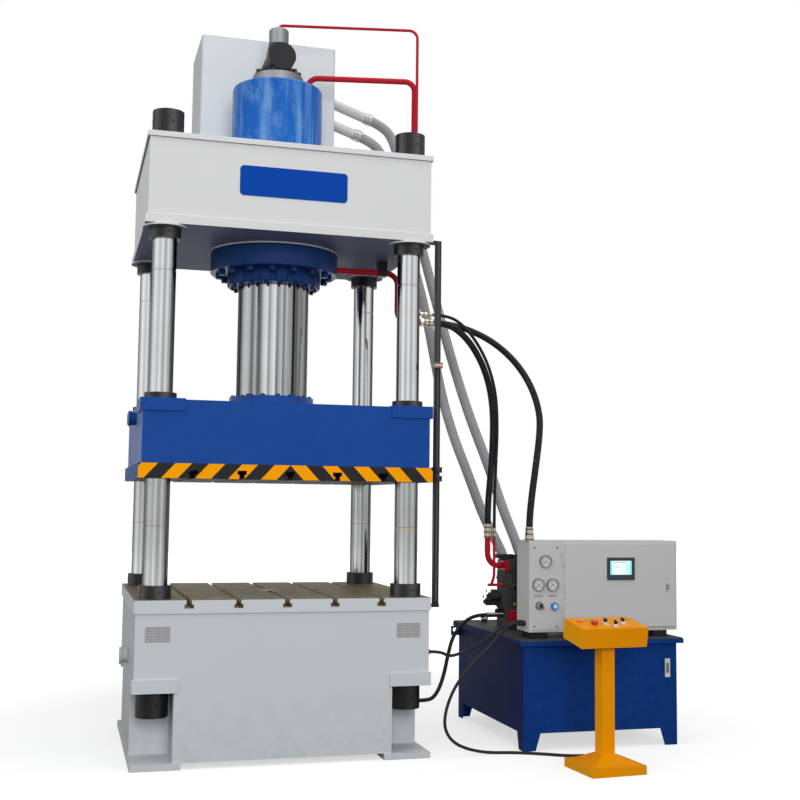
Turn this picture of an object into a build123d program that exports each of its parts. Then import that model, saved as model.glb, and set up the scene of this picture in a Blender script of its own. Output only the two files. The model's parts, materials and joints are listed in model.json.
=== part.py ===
# Four-column hydraulic press with its power unit, cabinet and console.
# Millimetres, +Z up, press centre on the floor at the origin, front towards -Y.
import os
from math import radians, tan
from build123d import *

os.makedirs("parts", exist_ok=True)

# Columns and their nuts
COLUMN_X = 795
COLUMN_Y = 612
COLUMN_R = 75
COLUMN_END = 4
NUT_WALL = 24
NUT_TALL = 156
TABLE_NUT_TALL = 80
CROWN_NUT_TALL = 68
NUT_R = COLUMN_R + NUT_WALL

# Bed and table
BED_EDGE_X = 120
BED_EDGE_Y = 140
FLOOR_GAP = 38
FOOT_WIDE = 299
FOOT_LIP_X = 11
FOOT_LIP_Y = 16
FOOT_HOLE_R = 17
LEDGE_LOW = 450
LEDGE_THICK = 81
LEDGE_LIP_X = 12
LEDGE_LIP_Y = 14
LEDGE_WIDE = 271
LEDGE_DEEP = 306
POCKET_X = 118
POCKET_Y = 152
BED_TOP = 918
TABLE_THICK = 82
TABLE_LIP_X = 10
TABLE_LIP_Y = 9
BED_HALF_X = COLUMN_X + BED_EDGE_X
BED_HALF_Y = COLUMN_Y + BED_EDGE_Y
TABLE_TOP = BED_TOP + TABLE_THICK
SLOT_XS = (-600, -300, 0, 300, 600)
SLOT_MOUTH = 32
SLOT_WIDE = 56
SLOT_WIDE_H = 24
SLOT_DEPTH = 52
LUG_Z = 585
LUG_R = 44
LUG_LONG = 38
LUG_HEAD = 12

# Crown: box, upper and lower plates, corner bosses and the ring round the cylinder
CROWN_LOW = 3302
CROWN_TALL = 578
CROWN_EDGE_X = 116
CROWN_EDGE_Y = 113
CROWN_LIP_X = 12.5
CROWN_LIP_Y = 12
CROWN_FOOT_X = 15
CROWN_FOOT_Y = 9
CROWN_PLATE = 35
CROWN_FOOT_PLATE = 56
BOSS_R = 141
BOSS_TALL = 12
RING_TALL = 10
CROWN_TOP = CROWN_LOW + CROWN_TALL
CROWN_X = COLUMN_X + CROWN_EDGE_X
CROWN_Y = COLUMN_Y + CROWN_EDGE_Y
COLUMN_LOW = LEDGE_LOW - NUT_TALL - COLUMN_END
COLUMN_TOP = CROWN_TOP + NUT_TALL + COLUMN_END

# Crosshead
HEAD_LOW = 1730
PLATEN_THICK = 92
HEAD_TALL = 389
HEAD_EDGE_X = 113
HEAD_EDGE_Y = 143
PLATEN_LIP_X = 19
PLATEN_LIP_Y = 12
PAD_TALL = 7
BUSH_WALL = 17
COLLAR_R = 100
HEAD_X = COLUMN_X + HEAD_EDGE_X
HEAD_Y = COLUMN_Y + HEAD_EDGE_Y
HEAD_SLAB_TOP = HEAD_LOW + PLATEN_THICK
HEAD_TOP = HEAD_SLAB_TOP + HEAD_TALL
BUSH_R = COLUMN_R + BUSH_WALL

# Ram, piston and main cylinder, each wall added to the one inside it
RAM_R = 242
PISTON_STEP = 20
BARREL_WALL = 50
FLANGE_EDGE = 124
FLANGE_THICK = 140
FLANGE_BOLTS_OUT = 64
GLAND_TALL = 89
GLAND_SPIGOT = 80
BARREL_RISE = 583
BARREL_ROOF = 53
RAM_FOOT_R = 287
RAM_FOOT_TALL = 89
PISTON_TALL = 110
PISTON_REST = 448
BOLT_R = 14.5
RUN_FIT = 0.05
BORE_R = RAM_R + PISTON_STEP
BARREL_R = BORE_R + BARREL_WALL
FLANGE_R = BARREL_R + FLANGE_EDGE
BOLT_RING_R = BARREL_R + FLANGE_BOLTS_OUT
FLANGE_TOP = CROWN_LOW - RING_TALL
FLANGE_LOW = FLANGE_TOP - FLANGE_THICK
GLAND_LOW = FLANGE_LOW - GLAND_TALL
BARREL_TOP = CROWN_TOP + BARREL_RISE
BORE_TOP = BARREL_TOP - BARREL_ROOF
RAM_TOP = FLANGE_TOP + PISTON_REST
PORT_Z = FLANGE_LOW + 70

# Prefill valve and fill tank
VALVE_R = 175
VALVE_PLATE = 100
VALVE_TALL = 450
VALVE_BOLT_R = 145
FILL_RISE = 202
FILL_R = 95
FILL_BORE_R = 78
BOSS_OUT = 115
FILL_Z = BARREL_TOP + FILL_RISE
VALVE_TOP = BARREL_TOP + VALVE_TALL
FILL_TANK_GAP = 28
FILL_TANK_X0, FILL_TANK_X1 = -500, 487
FILL_TANK_DEEP = 630
FILL_TANK_TALL = 1075
FILL_TANK_WALL = 8
FILL_TANK_Y0 = BARREL_R + FILL_TANK_GAP
FILL_TANK_Y1 = FILL_TANK_Y0 + FILL_TANK_DEEP
HOSE_R = 38

# Power unit
TANK_X0 = 1571
TANK_Y0 = -720
TANK_LONG = 1111
TANK_DEEP = 1314
TANK_Z0 = 112
TANK_TALL = 564
TANK_WALL = 6
LIP_X = 36
LIP_FRONT = 35
LIP_BACK = 36
LIP_THICK = 28
LID_THICK = 10
LEG_WIDE = 122
LEG_DEEP = 110
LEG_THICK = 12
TANK_X1 = TANK_X0 + TANK_LONG
TANK_Y1 = TANK_Y0 + TANK_DEEP
TANK_Z1 = TANK_Z0 + TANK_TALL
LIP_TOP = TANK_Z1 + LIP_THICK
LID_TOP = LIP_TOP + LID_THICK

# Cabinet, its door and the gauge panel, placed from the tank
CAB_X0 = TANK_X0 + 58
CAB_Y0 = TANK_Y0 + 45
RISER_TALL = 43
CAB_LONG = 1082
CAB_DEEP = 219
CAB_TALL = 601
SHEET = 4
CAB_X1 = CAB_X0 + CAB_LONG
CAB_Y1 = CAB_Y0 + CAB_DEEP
CAB_Z0 = LID_TOP + RISER_TALL
CAB_Z1 = CAB_Z0 + CAB_TALL
DIVIDER_X = CAB_X0 + 230
DOOR_X0 = CAB_X0 + 248
DOOR_X1 = CAB_X1 - 21
DOOR_Z0 = CAB_Z0 + 26
DOOR_Z1 = CAB_Z1 - 22
DOOR_SEAT = 0.3
DOOR_THICK = 17.7
DOOR_SHEET = 3
DOOR_BACK = CAB_Y0 - DOOR_SEAT
DOOR_FRONT = DOOR_BACK - DOOR_THICK
HINGE_X = DOOR_X0 - 8
HINGE_Y = DOOR_FRONT + 5
HINGE_R = 6
HINGE_TALL = 40
SCREEN_X = DOOR_X0 + 406
SCREEN_Z = DOOR_Z1 - 164
LATCH_X = DOOR_X1 - 55
LATCH_Z = DOOR_Z0 + 264
PANEL_X0 = CAB_X0 + 13
PANEL_WIDE = 204
PANEL_OUT = 6
PANEL_X1 = PANEL_X0 + PANEL_WIDE
PANEL_Z0 = CAB_Z0 + 15
PANEL_Z1 = CAB_Z1 - 22
PANEL_FRONT = CAB_Y0 - PANEL_OUT

# Valve manifold on the lid
BLOCK_X0 = TANK_X0 + 101
BLOCK_Y0 = -110
BLOCK_LONG = 178
BLOCK_DEEP = 160
BLOCK_TALL = 510
BLOCK_X1 = BLOCK_X0 + BLOCK_LONG
BLOCK_Y1 = BLOCK_Y0 + BLOCK_DEEP
BLOCK_TOP = LID_TOP + BLOCK_TALL

foot_place = Location((1857, -1333, 0), (0, 0, 4.5))
corners = [(sx * COLUMN_X, sy * COLUMN_Y) for sx in (-1, 1) for sy in (-1, 1)]


def bend_radii(points):
    """Arc radius at each inner corner of a cord, from its shorter run and its turn."""
    radii = []
    for before, corner, after in zip(points, points[1:], points[2:]):
        run_in = Vector(*corner) - Vector(*before)
        run_out = Vector(*after) - Vector(*corner)
        half_turn = radians(run_in.get_angle(run_out)) / 2
        radii.append(0.45 * min(run_in.length, run_out.length) / tan(half_turn))
    return radii


def start_plane(points):
    """Plane across the first run, at its start."""
    return Plane(origin=points[0], z_dir=Vector(*points[1]) - Vector(*points[0]))


def box_at(x0, x1, y0, y1, z0, z1, mode=Mode.ADD):
    """Box between two opposite corners."""
    with Locations(((x0 + x1) / 2, (y0 + y1) / 2, (z0 + z1) / 2)):
        Box(x1 - x0, y1 - y0, z1 - z0, mode=mode)


def round_at(x, y, z0, z1, radius, mode=Mode.ADD):
    """Upright cylinder."""
    with Locations((x, y, (z0 + z1) / 2)):
        Cylinder(radius, z1 - z0, mode=mode)


def along_x(x0, x1, y, z, radius, mode=Mode.ADD):
    """Cylinder lying along X."""
    with Locations(((x0 + x1) / 2, y, z)):
        Cylinder(radius, x1 - x0, rotation=(0, 90, 0), mode=mode)


def along_y(x, y0, y1, z, radius, mode=Mode.ADD):
    """Cylinder lying along Y."""
    with Locations((x, (y0 + y1) / 2, z)):
        Cylinder(radius, y1 - y0, rotation=(90, 0, 0), mode=mode)


# Ejector cylinder's size, which the bed is bored for
EJECTOR_R = 125
EJECTOR_LOW = 300
EJECTOR_TALL = 580
EJECTOR_WALL = 35
EJECTOR_ROD_R = 45
EJECTOR_HEAD_R = 60
EJECTOR_TOP = EJECTOR_LOW + EJECTOR_TALL

# Bed weldment, in its welded lengths: two foot plates, a middle and two sides below, which leave the pockets
# for the lower nuts, and the upper box with its ledges. The lifting pins stand on its sides.
inner_x = COLUMN_X - POCKET_X
inner_y = COLUMN_Y - POCKET_Y
foot_middle = BED_HALF_X + FOOT_LIP_X - FOOT_WIDE / 2
with BuildPart() as bed_feet:
    for sx in (-1, 1):
        with Locations((sx * foot_middle, 0, FLOOR_GAP / 2)):
            Box(FOOT_WIDE, 2 * (BED_HALF_Y + FOOT_LIP_Y), FLOOR_GAP)
        for sy in (-1, 1):
            with Locations((sx * (BED_HALF_X - 55), sy * (BED_HALF_Y - 52), FLOOR_GAP / 2)):
                Cylinder(FOOT_HOLE_R, FLOOR_GAP + 2, mode=Mode.SUBTRACT)
with BuildPart() as bed_middle:
    box_at(-inner_x, inner_x, -BED_HALF_Y, BED_HALF_Y, FLOOR_GAP, LEDGE_LOW)
    round_at(0, 0, 0, LEDGE_LOW + 2, EJECTOR_R, Mode.SUBTRACT)
with BuildPart() as bed_sides:
    box_at(inner_x, BED_HALF_X, -inner_y, inner_y, FLOOR_GAP, LEDGE_LOW)
    box_at(-BED_HALF_X, -inner_x, -inner_y, inner_y, FLOOR_GAP, LEDGE_LOW)
with BuildPart() as bed_upper:
    box_at(-BED_HALF_X, BED_HALF_X, -BED_HALF_Y, BED_HALF_Y, LEDGE_LOW, BED_TOP)
    for sx in (-1, 1):
        for sy in (-1, 1):
            with Locations((sx * (BED_HALF_X + LEDGE_LIP_X - LEDGE_WIDE / 2),
                            sy * (BED_HALF_Y + LEDGE_LIP_Y - LEDGE_DEEP / 2), LEDGE_LOW + LEDGE_THICK / 2)):
                Box(LEDGE_WIDE, LEDGE_DEEP, LEDGE_THICK)
    with Locations(*[(x, y, (LEDGE_LOW + BED_TOP) / 2) for x, y in corners]):
        Cylinder(COLUMN_R, BED_TOP - LEDGE_LOW + 20, mode=Mode.SUBTRACT)
    round_at(0, 0, LEDGE_LOW - 2, EJECTOR_TOP, EJECTOR_R, Mode.SUBTRACT)
    round_at(0, 0, EJECTOR_TOP - 10, BED_TOP + 10, EJECTOR_HEAD_R + 5, Mode.SUBTRACT)
with BuildPart() as bed_pins:
    for sx in (-1, 1):
        with Locations((sx * (BED_HALF_X + LUG_LONG / 2), 0, LUG_Z)):
            Cylinder(LUG_R, LUG_LONG, rotation=(0, 90, 0))
        with Locations((sx * (BED_HALF_X + LUG_LONG + LUG_HEAD / 2), 0, LUG_Z)):
            Cylinder(LUG_R + 12, LUG_HEAD, rotation=(0, 90, 0))
bed_frame = Compound(
    [*bed_feet.part.solids(), *bed_middle.part.solids(), *bed_sides.part.solids(),
     *bed_upper.part.solids(), *bed_pins.part.solids()])
bed_frame.label = "bed_frame"
export_step(bed_frame, "parts/bed_frame.step")

# Machined table with five T-slots and the hole for the ejector
with BuildPart() as bed_table:
    with Locations((0, 0, BED_TOP + TABLE_THICK / 2)):
        Box(2 * (BED_HALF_X + TABLE_LIP_X), 2 * (BED_HALF_Y + TABLE_LIP_Y), TABLE_THICK)
    for x in SLOT_XS:
        with Locations((x, 0, TABLE_TOP - SLOT_DEPTH / 2)):
            Box(SLOT_MOUTH, 2 * BED_HALF_Y + 96, SLOT_DEPTH, mode=Mode.SUBTRACT)
        with Locations((x, 0, TABLE_TOP - SLOT_DEPTH + SLOT_WIDE_H / 2)):
            Box(SLOT_WIDE, 2 * BED_HALF_Y + 96, SLOT_WIDE_H, mode=Mode.SUBTRACT)
    with Locations(*[(x, y, BED_TOP + TABLE_THICK / 2) for x, y in corners]):
        Cylinder(COLUMN_R, TABLE_THICK + 18, mode=Mode.SUBTRACT)
    round_at(0, 0, BED_TOP - 18, TABLE_TOP + 10, EJECTOR_HEAD_R, Mode.SUBTRACT)
bed_table.part.label = "bed_table"
export_step(bed_table.part, "parts/bed_table.step")

# Crown weldment: box between two thick plates, bosses and a machined ring below
with BuildPart() as crown_frame:
    box_at(-CROWN_X, CROWN_X, -CROWN_Y, CROWN_Y, CROWN_LOW + CROWN_FOOT_PLATE, CROWN_TOP - CROWN_PLATE)
    box_at(-CROWN_X - CROWN_LIP_X, CROWN_X + CROWN_LIP_X, -CROWN_Y - CROWN_LIP_Y, CROWN_Y + CROWN_LIP_Y,
           CROWN_TOP - CROWN_PLATE, CROWN_TOP)
    box_at(-CROWN_X - CROWN_FOOT_X, CROWN_X + CROWN_FOOT_X, -CROWN_Y - CROWN_FOOT_Y, CROWN_Y + CROWN_FOOT_Y,
           CROWN_LOW, CROWN_LOW + CROWN_FOOT_PLATE)
    with Locations(*[(x, y, CROWN_LOW - BOSS_TALL / 2) for x, y in corners]):
        Cylinder(BOSS_R, BOSS_TALL)
    round_at(0, 0, FLANGE_TOP, CROWN_LOW, FLANGE_R + 9)
    with Locations(*[(x, y, (CROWN_LOW + CROWN_TOP) / 2) for x, y in corners]):
        Cylinder(COLUMN_R, CROWN_TALL + 122, mode=Mode.SUBTRACT)
    round_at(0, 0, FLANGE_TOP - 92, CROWN_TOP + 20, BARREL_R, Mode.SUBTRACT)
crown_frame.part.label = "crown_frame"
export_step(crown_frame.part, "parts/crown_frame.step")

# Four chromed columns with a fine turned groove under the crown
GROOVE_DROP = 274
GROOVE_TALL = 10
GROOVE_Z = CROWN_LOW - GROOVE_DROP
with BuildPart() as columns:
    with BuildSketch(Plane.XZ) as column_half:
        with BuildLine():
            Polyline(
                (0, COLUMN_LOW), (COLUMN_R - 6, COLUMN_LOW), (COLUMN_R, COLUMN_LOW + 6),
                (COLUMN_R, GROOVE_Z - GROOVE_TALL), (COLUMN_R - 2, GROOVE_Z - GROOVE_TALL + 2),
                (COLUMN_R - 2, GROOVE_Z - 2), (COLUMN_R, GROOVE_Z),
                (COLUMN_R, COLUMN_TOP - 6), (COLUMN_R - 6, COLUMN_TOP), (0, COLUMN_TOP), close=True)
        make_face()
    one_column = revolve(axis=Axis.Z, mode=Mode.PRIVATE)
    with Locations(*[(x, y, 0) for x, y in corners]):
        add(one_column)
columns.part.label = "columns"
export_step(columns.part, "parts/columns.step")

# Round nuts: on the crown, under the crown, on the table and in the bed's pockets
NUT_SPANS = (
    (CROWN_TOP, CROWN_TOP + NUT_TALL), (CROWN_LOW - BOSS_TALL - CROWN_NUT_TALL, CROWN_LOW - BOSS_TALL),
    (TABLE_TOP, TABLE_TOP + TABLE_NUT_TALL), (LEDGE_LOW - NUT_TALL, LEDGE_LOW))
with BuildPart() as column_nuts:
    for low, high in NUT_SPANS:
        mid = (low + high) / 2
        with Locations(*[(x, y, mid) for x, y in corners]):
            Cylinder(NUT_R, high - low)
            Cylinder(COLUMN_R, high - low, mode=Mode.SUBTRACT)
            with PolarLocations(NUT_R - 4, 4, start_angle=12):
                Cylinder(8, 24, rotation=(0, 90, 0), mode=Mode.SUBTRACT)
column_nuts.part.label = "column_nuts"
export_step(column_nuts.part, "parts/column_nuts.step")

# Crosshead weldment, its lower plate with T-slots is a piece of its own
with BuildPart() as crosshead_frame:
    box_at(-HEAD_X, HEAD_X, -HEAD_Y, HEAD_Y, HEAD_SLAB_TOP, HEAD_TOP)
    for sx in (-1, 1):
        for sy in (-1, 1):
            with Locations((sx * (HEAD_X + 17 - 273 / 2), sy * (HEAD_Y + 12 - 307 / 2), HEAD_TOP - 32)):
                Box(273, 307, 78)
        with Locations((sx * (HEAD_X + 17), 0, HEAD_TOP - 76)):
            Cylinder(44, 34, rotation=(0, 90, 0))
        with Locations((sx * (HEAD_X + 40), 0, HEAD_TOP - 76)):
            Cylinder(52, 12, rotation=(0, 90, 0))
    with Locations(*[(x, y, (HEAD_SLAB_TOP + HEAD_TOP) / 2) for x, y in corners]):
        Cylinder(BUSH_R, HEAD_TALL + 100, mode=Mode.SUBTRACT)
crosshead_frame.part.label = "crosshead_frame"
export_step(crosshead_frame.part, "parts/crosshead_frame.step")

with BuildPart() as platen:
    box_at(-HEAD_X - PLATEN_LIP_X, HEAD_X + PLATEN_LIP_X, -HEAD_Y - PLATEN_LIP_Y, HEAD_Y + PLATEN_LIP_Y,
           HEAD_LOW, HEAD_SLAB_TOP)
    for x in SLOT_XS:
        with Locations((x, 0, HEAD_LOW + SLOT_DEPTH / 2)):
            Box(SLOT_MOUTH, 2 * HEAD_Y + 90, SLOT_DEPTH, mode=Mode.SUBTRACT)
        with Locations((x, 0, HEAD_LOW + SLOT_DEPTH - SLOT_WIDE_H / 2)):
            Box(SLOT_WIDE, 2 * HEAD_Y + 90, SLOT_WIDE_H, mode=Mode.SUBTRACT)
    with Locations(*[(x, y, HEAD_LOW + PLATEN_THICK / 2) for x, y in corners]):
        Cylinder(BUSH_R, PLATEN_THICK + 28, mode=Mode.SUBTRACT)
platen.part.label = "platen"
export_step(platen.part, "parts/platen.step")

# Guide bushes, each with a black collar on the crosshead's corner pad
PAD_TOP = HEAD_TOP + PAD_TALL
BUSH_LOW = HEAD_LOW + 4
with BuildPart() as guide_bushes:
    with Locations(*[(x, y, (BUSH_LOW + PAD_TOP) / 2) for x, y in corners]):
        Cylinder(BUSH_R, PAD_TOP - BUSH_LOW)
    with Locations(*[(x, y, PAD_TOP + 20) for x, y in corners]):
        Cylinder(COLLAR_R, 40)
    with Locations(*[(x, y, (HEAD_LOW + HEAD_TOP) / 2) for x, y in corners]):
        Cylinder(COLUMN_R + RUN_FIT, HEAD_TOP - HEAD_LOW + 220, mode=Mode.SUBTRACT)
guide_bushes.part.label = "guide_bushes"
export_step(guide_bushes.part, "parts/guide_bushes.step")

# Main cylinder: barrel and lower flange in one forging, with its oil ports
PORT_R = 14
TOP_PORT_X = VALVE_R + 50
TOP_PORT_Y = 50
with BuildPart() as cylinder_body:
    with BuildSketch(Plane.XZ):
        with BuildLine():
            Polyline(
                (BORE_R, FLANGE_LOW), (FLANGE_R - 6, FLANGE_LOW), (FLANGE_R, FLANGE_LOW + 6),
                (FLANGE_R, FLANGE_TOP - 6), (FLANGE_R - 6, FLANGE_TOP), (BARREL_R, FLANGE_TOP),
                (BARREL_R, BARREL_TOP - 16), (BARREL_R - 5, BARREL_TOP - 5),
                (BARREL_R - 16, BARREL_TOP), (105, BARREL_TOP), (105, BORE_TOP),
                (BORE_R, BORE_TOP), close=True)
        make_face()
    revolve(axis=Axis.Z)
    with PolarLocations(BOLT_RING_R, 16, start_angle=11.25):
        with Locations((0, 0, (FLANGE_LOW + FLANGE_TOP) / 2)):
            Cylinder(BOLT_R, FLANGE_THICK + 60, mode=Mode.SUBTRACT)
    along_x(BORE_R - 12, FLANGE_R + 14, 0, PORT_Z, PORT_R, Mode.SUBTRACT)
    round_at(TOP_PORT_X, TOP_PORT_Y, BORE_TOP - 10, BARREL_TOP + 7, PORT_R, Mode.SUBTRACT)
cylinder_body.part.label = "cylinder_body"
export_step(cylinder_body.part, "parts/cylinder_body.step")

# Gland cover that holds the ram's packing, with scallops round its edge
with BuildPart() as gland_cover:
    with BuildSketch(Plane.XZ):
        with BuildLine():
            Polyline(
                (RAM_R + RUN_FIT, GLAND_LOW), (BARREL_R, GLAND_LOW), (BARREL_R + 7, GLAND_LOW + 7),
                (BARREL_R + 7, FLANGE_LOW), (BORE_R, FLANGE_LOW), (BORE_R, FLANGE_LOW + GLAND_SPIGOT),
                (RAM_R + RUN_FIT, FLANGE_LOW + GLAND_SPIGOT), close=True)
        make_face()
    revolve(axis=Axis.Z)
    with PolarLocations(BARREL_R + 14, 18):
        with Locations((0, 0, GLAND_LOW + 33)):
            Cylinder(22, 70, mode=Mode.SUBTRACT)
gland_cover.part.label = "gland_cover"
export_step(gland_cover.part, "parts/gland_cover.step")

# Bolts of the cylinder flange, of the gland cover and of the prefill valve
with BuildPart() as cylinder_bolts:
    with PolarLocations(BOLT_RING_R, 16, start_angle=11.25):
        with Locations((0, 0, FLANGE_TOP - 2 - (FLANGE_THICK + 62) / 2)):
            Cylinder(BOLT_R, FLANGE_THICK + 62)
        with Locations((0, 0, FLANGE_LOW - 15)):
            Cylinder(25, 30)
    with PolarLocations(BARREL_R - 32, 18, start_angle=10):
        with Locations((0, 0, GLAND_LOW - 9)):
            Cylinder(13, 18)
    with PolarLocations(VALVE_BOLT_R, 6):
        with Locations((0, 0, BARREL_TOP + VALVE_PLATE + 11)):
            Cylinder(15, 22)
cylinder_bolts.part.label = "cylinder_bolts"
export_step(cylinder_bolts.part, "parts/cylinder_bolts.step")

# Ram with its foot flange, and the piston on its upper end
FOOT_TOP = HEAD_TOP + RAM_FOOT_TALL
with BuildPart() as ram:
    round_at(0, 0, FOOT_TOP, RAM_TOP, RAM_R)
    round_at(0, 0, HEAD_TOP, FOOT_TOP, RAM_FOOT_R)
ram.part.label = "ram"
export_step(ram.part, "parts/ram.step")

with BuildPart() as piston:
    round_at(0, 0, RAM_TOP, RAM_TOP + PISTON_TALL, BORE_R - RUN_FIT)
    for z in (RAM_TOP + 20, RAM_TOP + 55, RAM_TOP + 90):
        with Locations((0, 0, z)):
            Cylinder(BORE_R + 5, 8, mode=Mode.SUBTRACT)
            Cylinder(BORE_R - 8, 8)
piston.part.label = "piston"
export_step(piston.part, "parts/piston.step")

with BuildPart() as ram_bolts:
    with PolarLocations((RAM_R + RAM_FOOT_R) / 2, 16):
        with Locations((0, 0, FOOT_TOP + 12)):
            Cylinder(16, 24)
ram_bolts.part.label = "ram_bolts"
export_step(ram_bolts.part, "parts/ram_bolts.step")

# Prefill valve on top of the cylinder: seat, side boss for the fill pipe, cap
PLATE_TOP = BARREL_TOP + VALVE_PLATE
STEM_R = 15
with BuildPart() as prefill_body:
    with BuildSketch(Plane.XZ):
        with BuildLine():
            Polyline(
                (0, BARREL_TOP), (VALVE_R, BARREL_TOP), (VALVE_R, PLATE_TOP - 8), (VALVE_R - 7, PLATE_TOP),
                (112, PLATE_TOP), (72, VALVE_TOP - 123), (69, VALVE_TOP - 119), (69, VALVE_TOP - 13),
                (56, VALVE_TOP), (0, VALVE_TOP), close=True)
        make_face()
    revolve(axis=Axis.Z)
    along_y(0, -BOSS_OUT, BOSS_OUT, FILL_Z, FILL_R)
    round_at(0, 0, BARREL_TOP - 3, BARREL_TOP + 52, 104, Mode.SUBTRACT)
    round_at(0, 0, BARREL_TOP + 47, VALVE_TOP - 173, 62, Mode.SUBTRACT)
    round_at(0, 0, VALVE_TOP - 183, VALVE_TOP - 25, STEM_R + RUN_FIT, Mode.SUBTRACT)
    along_y(0, 0, BOSS_OUT + 5, FILL_Z, 62, Mode.SUBTRACT)
prefill_body.part.label = "prefill_body"
export_step(prefill_body.part, "parts/prefill_body.step")

with BuildPart() as prefill_poppet:
    round_at(0, 0, BARREL_TOP + 31, BARREL_TOP + 51.7, 88)
    round_at(0, 0, BARREL_TOP + 51, VALVE_TOP - 63, STEM_R)
prefill_poppet.part.label = "prefill_poppet"
export_step(prefill_poppet.part, "parts/prefill_poppet.step")

# Fill pipe from the tank to the valve, and the blank end in front of the valve
with BuildPart() as fill_pipe:
    along_y(0, BOSS_OUT, FILL_TANK_Y0, FILL_Z, FILL_R)
    along_y(0, BOSS_OUT - 5, FILL_TANK_Y0 + 5, FILL_Z, FILL_BORE_R, Mode.SUBTRACT)
    along_y(0, -BOSS_OUT - 55, -BOSS_OUT, FILL_Z, FILL_R)
fill_pipe.part.label = "fill_pipe"
export_step(fill_pipe.part, "parts/fill_pipe.step")

# Fill tank on the crown, a closed sheet box with its connections
RETURN_1 = (866, 850, 4618)
RETURN_2 = (780, 850, 4479)
with BuildPart() as fill_tank:
    box_at(FILL_TANK_X0, FILL_TANK_X1, FILL_TANK_Y0, FILL_TANK_Y1, CROWN_TOP, CROWN_TOP + FILL_TANK_TALL)
    fillet(fill_tank.edges().filter_by(Axis.Z), 24)
    offset(amount=-FILL_TANK_WALL, kind=Kind.INTERSECTION, mode=Mode.SUBTRACT)
    along_y(0, FILL_TANK_Y0 - 10, FILL_TANK_Y0 + 15, FILL_Z, FILL_BORE_R, Mode.SUBTRACT)
    along_x(FILL_TANK_X1 - 17, FILL_TANK_X1 + 8, RETURN_1[1], 4748, 30, Mode.SUBTRACT)
    along_x(FILL_TANK_X1 - 17, FILL_TANK_X1 + 8, RETURN_2[1], 4576.5, 30, Mode.SUBTRACT)
fill_tank.part.label = "fill_tank"
export_step(fill_tank.part, "parts/fill_tank.step")

# Two rigid return pipes that slope down from the fill tank
with BuildPart() as return_pipes:
    for end, drop in ((RETURN_1, 0.3425), (RETURN_2, 0.3317)):
        run = Vector(1, 0, -drop)
        with BuildSketch(Plane(origin=Vector(*end), z_dir=run)):
            Circle(HOSE_R)
            Circle(HOSE_R - 7, mode=Mode.SUBTRACT)
        extrude(amount=-460)
    box_at(FILL_TANK_X0, FILL_TANK_X1, FILL_TANK_Y0, FILL_TANK_Y1, CROWN_TOP, CROWN_TOP + FILL_TANK_TALL, Mode.SUBTRACT)
return_pipes.part.label = "return_pipes"
export_step(return_pipes.part, "parts/return_pipes.step")

# Red pressure pipes and the thin pilot pipe, down past the crown's right side
PIPE_R = 20
PILOT_R = 10
top_run = (
    (TOP_PORT_X, TOP_PORT_Y, BARREL_TOP), (TOP_PORT_X, TOP_PORT_Y, BARREL_TOP + 143),
    (971, -100, BARREL_TOP + 143), (971, -100, 2870), (1023, -100, 2870))
low_run = ((FLANGE_R, 0, PORT_Z), (890, 0, PORT_Z), (890, 0, 2887), (1052, 0, 2887))
pilot_run = (
    (0, 0, VALVE_TOP), (0, 0, VALVE_TOP + 32), (960, -200, VALVE_TOP + 32), (960, -200, 2912),
    (1000, -200, 2912))
with BuildPart() as red_pipes:
    with BuildLine() as top_line:
        FilletPolyline(*top_run, radius=(70, 70, 46))
    with BuildSketch(Plane.XY.offset(BARREL_TOP)):
        with Locations((TOP_PORT_X, TOP_PORT_Y)):
            Circle(PIPE_R)
            Circle(PORT_R, mode=Mode.SUBTRACT)
    sweep(path=top_line.wire())
    with BuildLine() as low_line:
        FilletPolyline(*low_run, radius=(80, 70))
    with BuildSketch(start_plane(low_run)):
        Circle(PIPE_R)
        Circle(PORT_R, mode=Mode.SUBTRACT)
    sweep(path=low_line.wire())
    with BuildLine() as pilot_line:
        FilletPolyline(*pilot_run, radius=(28, 60, 36))
    with BuildSketch(Plane.XY.offset(VALVE_TOP)):
        Circle(PILOT_R)
    sweep(path=pilot_line.wire())
red_pipes.part.label = "red_pipes"
export_step(red_pipes.part, "parts/red_pipes.step")

# Hose clamps on the return pipes and the clamp block of the lower red pipe
with BuildPart() as pipe_clamps:
    for end, drop in ((RETURN_1, 0.3425), (RETURN_2, 0.3317)):
        run = Vector(1, 0, -drop).normalized()
        with BuildSketch(Plane(origin=Vector(*end) - run * 30, z_dir=run)):
            Circle(HOSE_R + 7)
            Circle(HOSE_R, mode=Mode.SUBTRACT)
        extrude(amount=60)
    box_at(742, 806, -34, 34, PORT_Z - 26, CROWN_LOW)
    along_x(730, 820, 0, PORT_Z, PIPE_R, Mode.SUBTRACT)
pipe_clamps.part.label = "pipe_clamps"
export_step(pipe_clamps.part, "parts/pipe_clamps.step")

# Metal end fittings of the hoses
with BuildPart() as hose_fittings:
    for x, y, z, size in ((1023, -100, 2870, 31), (1052, 0, 2887, 31), (1000, -200, 2912, 16)):
        with BuildSketch(Plane(origin=(x, y, z), x_dir=(0, 1, 0), z_dir=(1, 0, 0))):
            RegularPolygon(size, 6)
        extrude(amount=42)
        along_x(x + 42, x + 104 if size > 20 else x + 95, y, z, size * 0.85)
    round_at(1545, -100, 1361, 1456, 27)
    round_at(1595, -100, 1361, 1428, 13)
    round_at(1643, -640, CAB_Z1, CAB_Z1 + 26, 31)
    along_x(1544, BLOCK_X0, -80, 819, 17)
    along_x(BED_HALF_X, 945, -420, 300, 18)
hose_fittings.part.label = "hose_fittings"
export_step(hose_fittings.part, "parts/hose_fittings.step")

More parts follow.
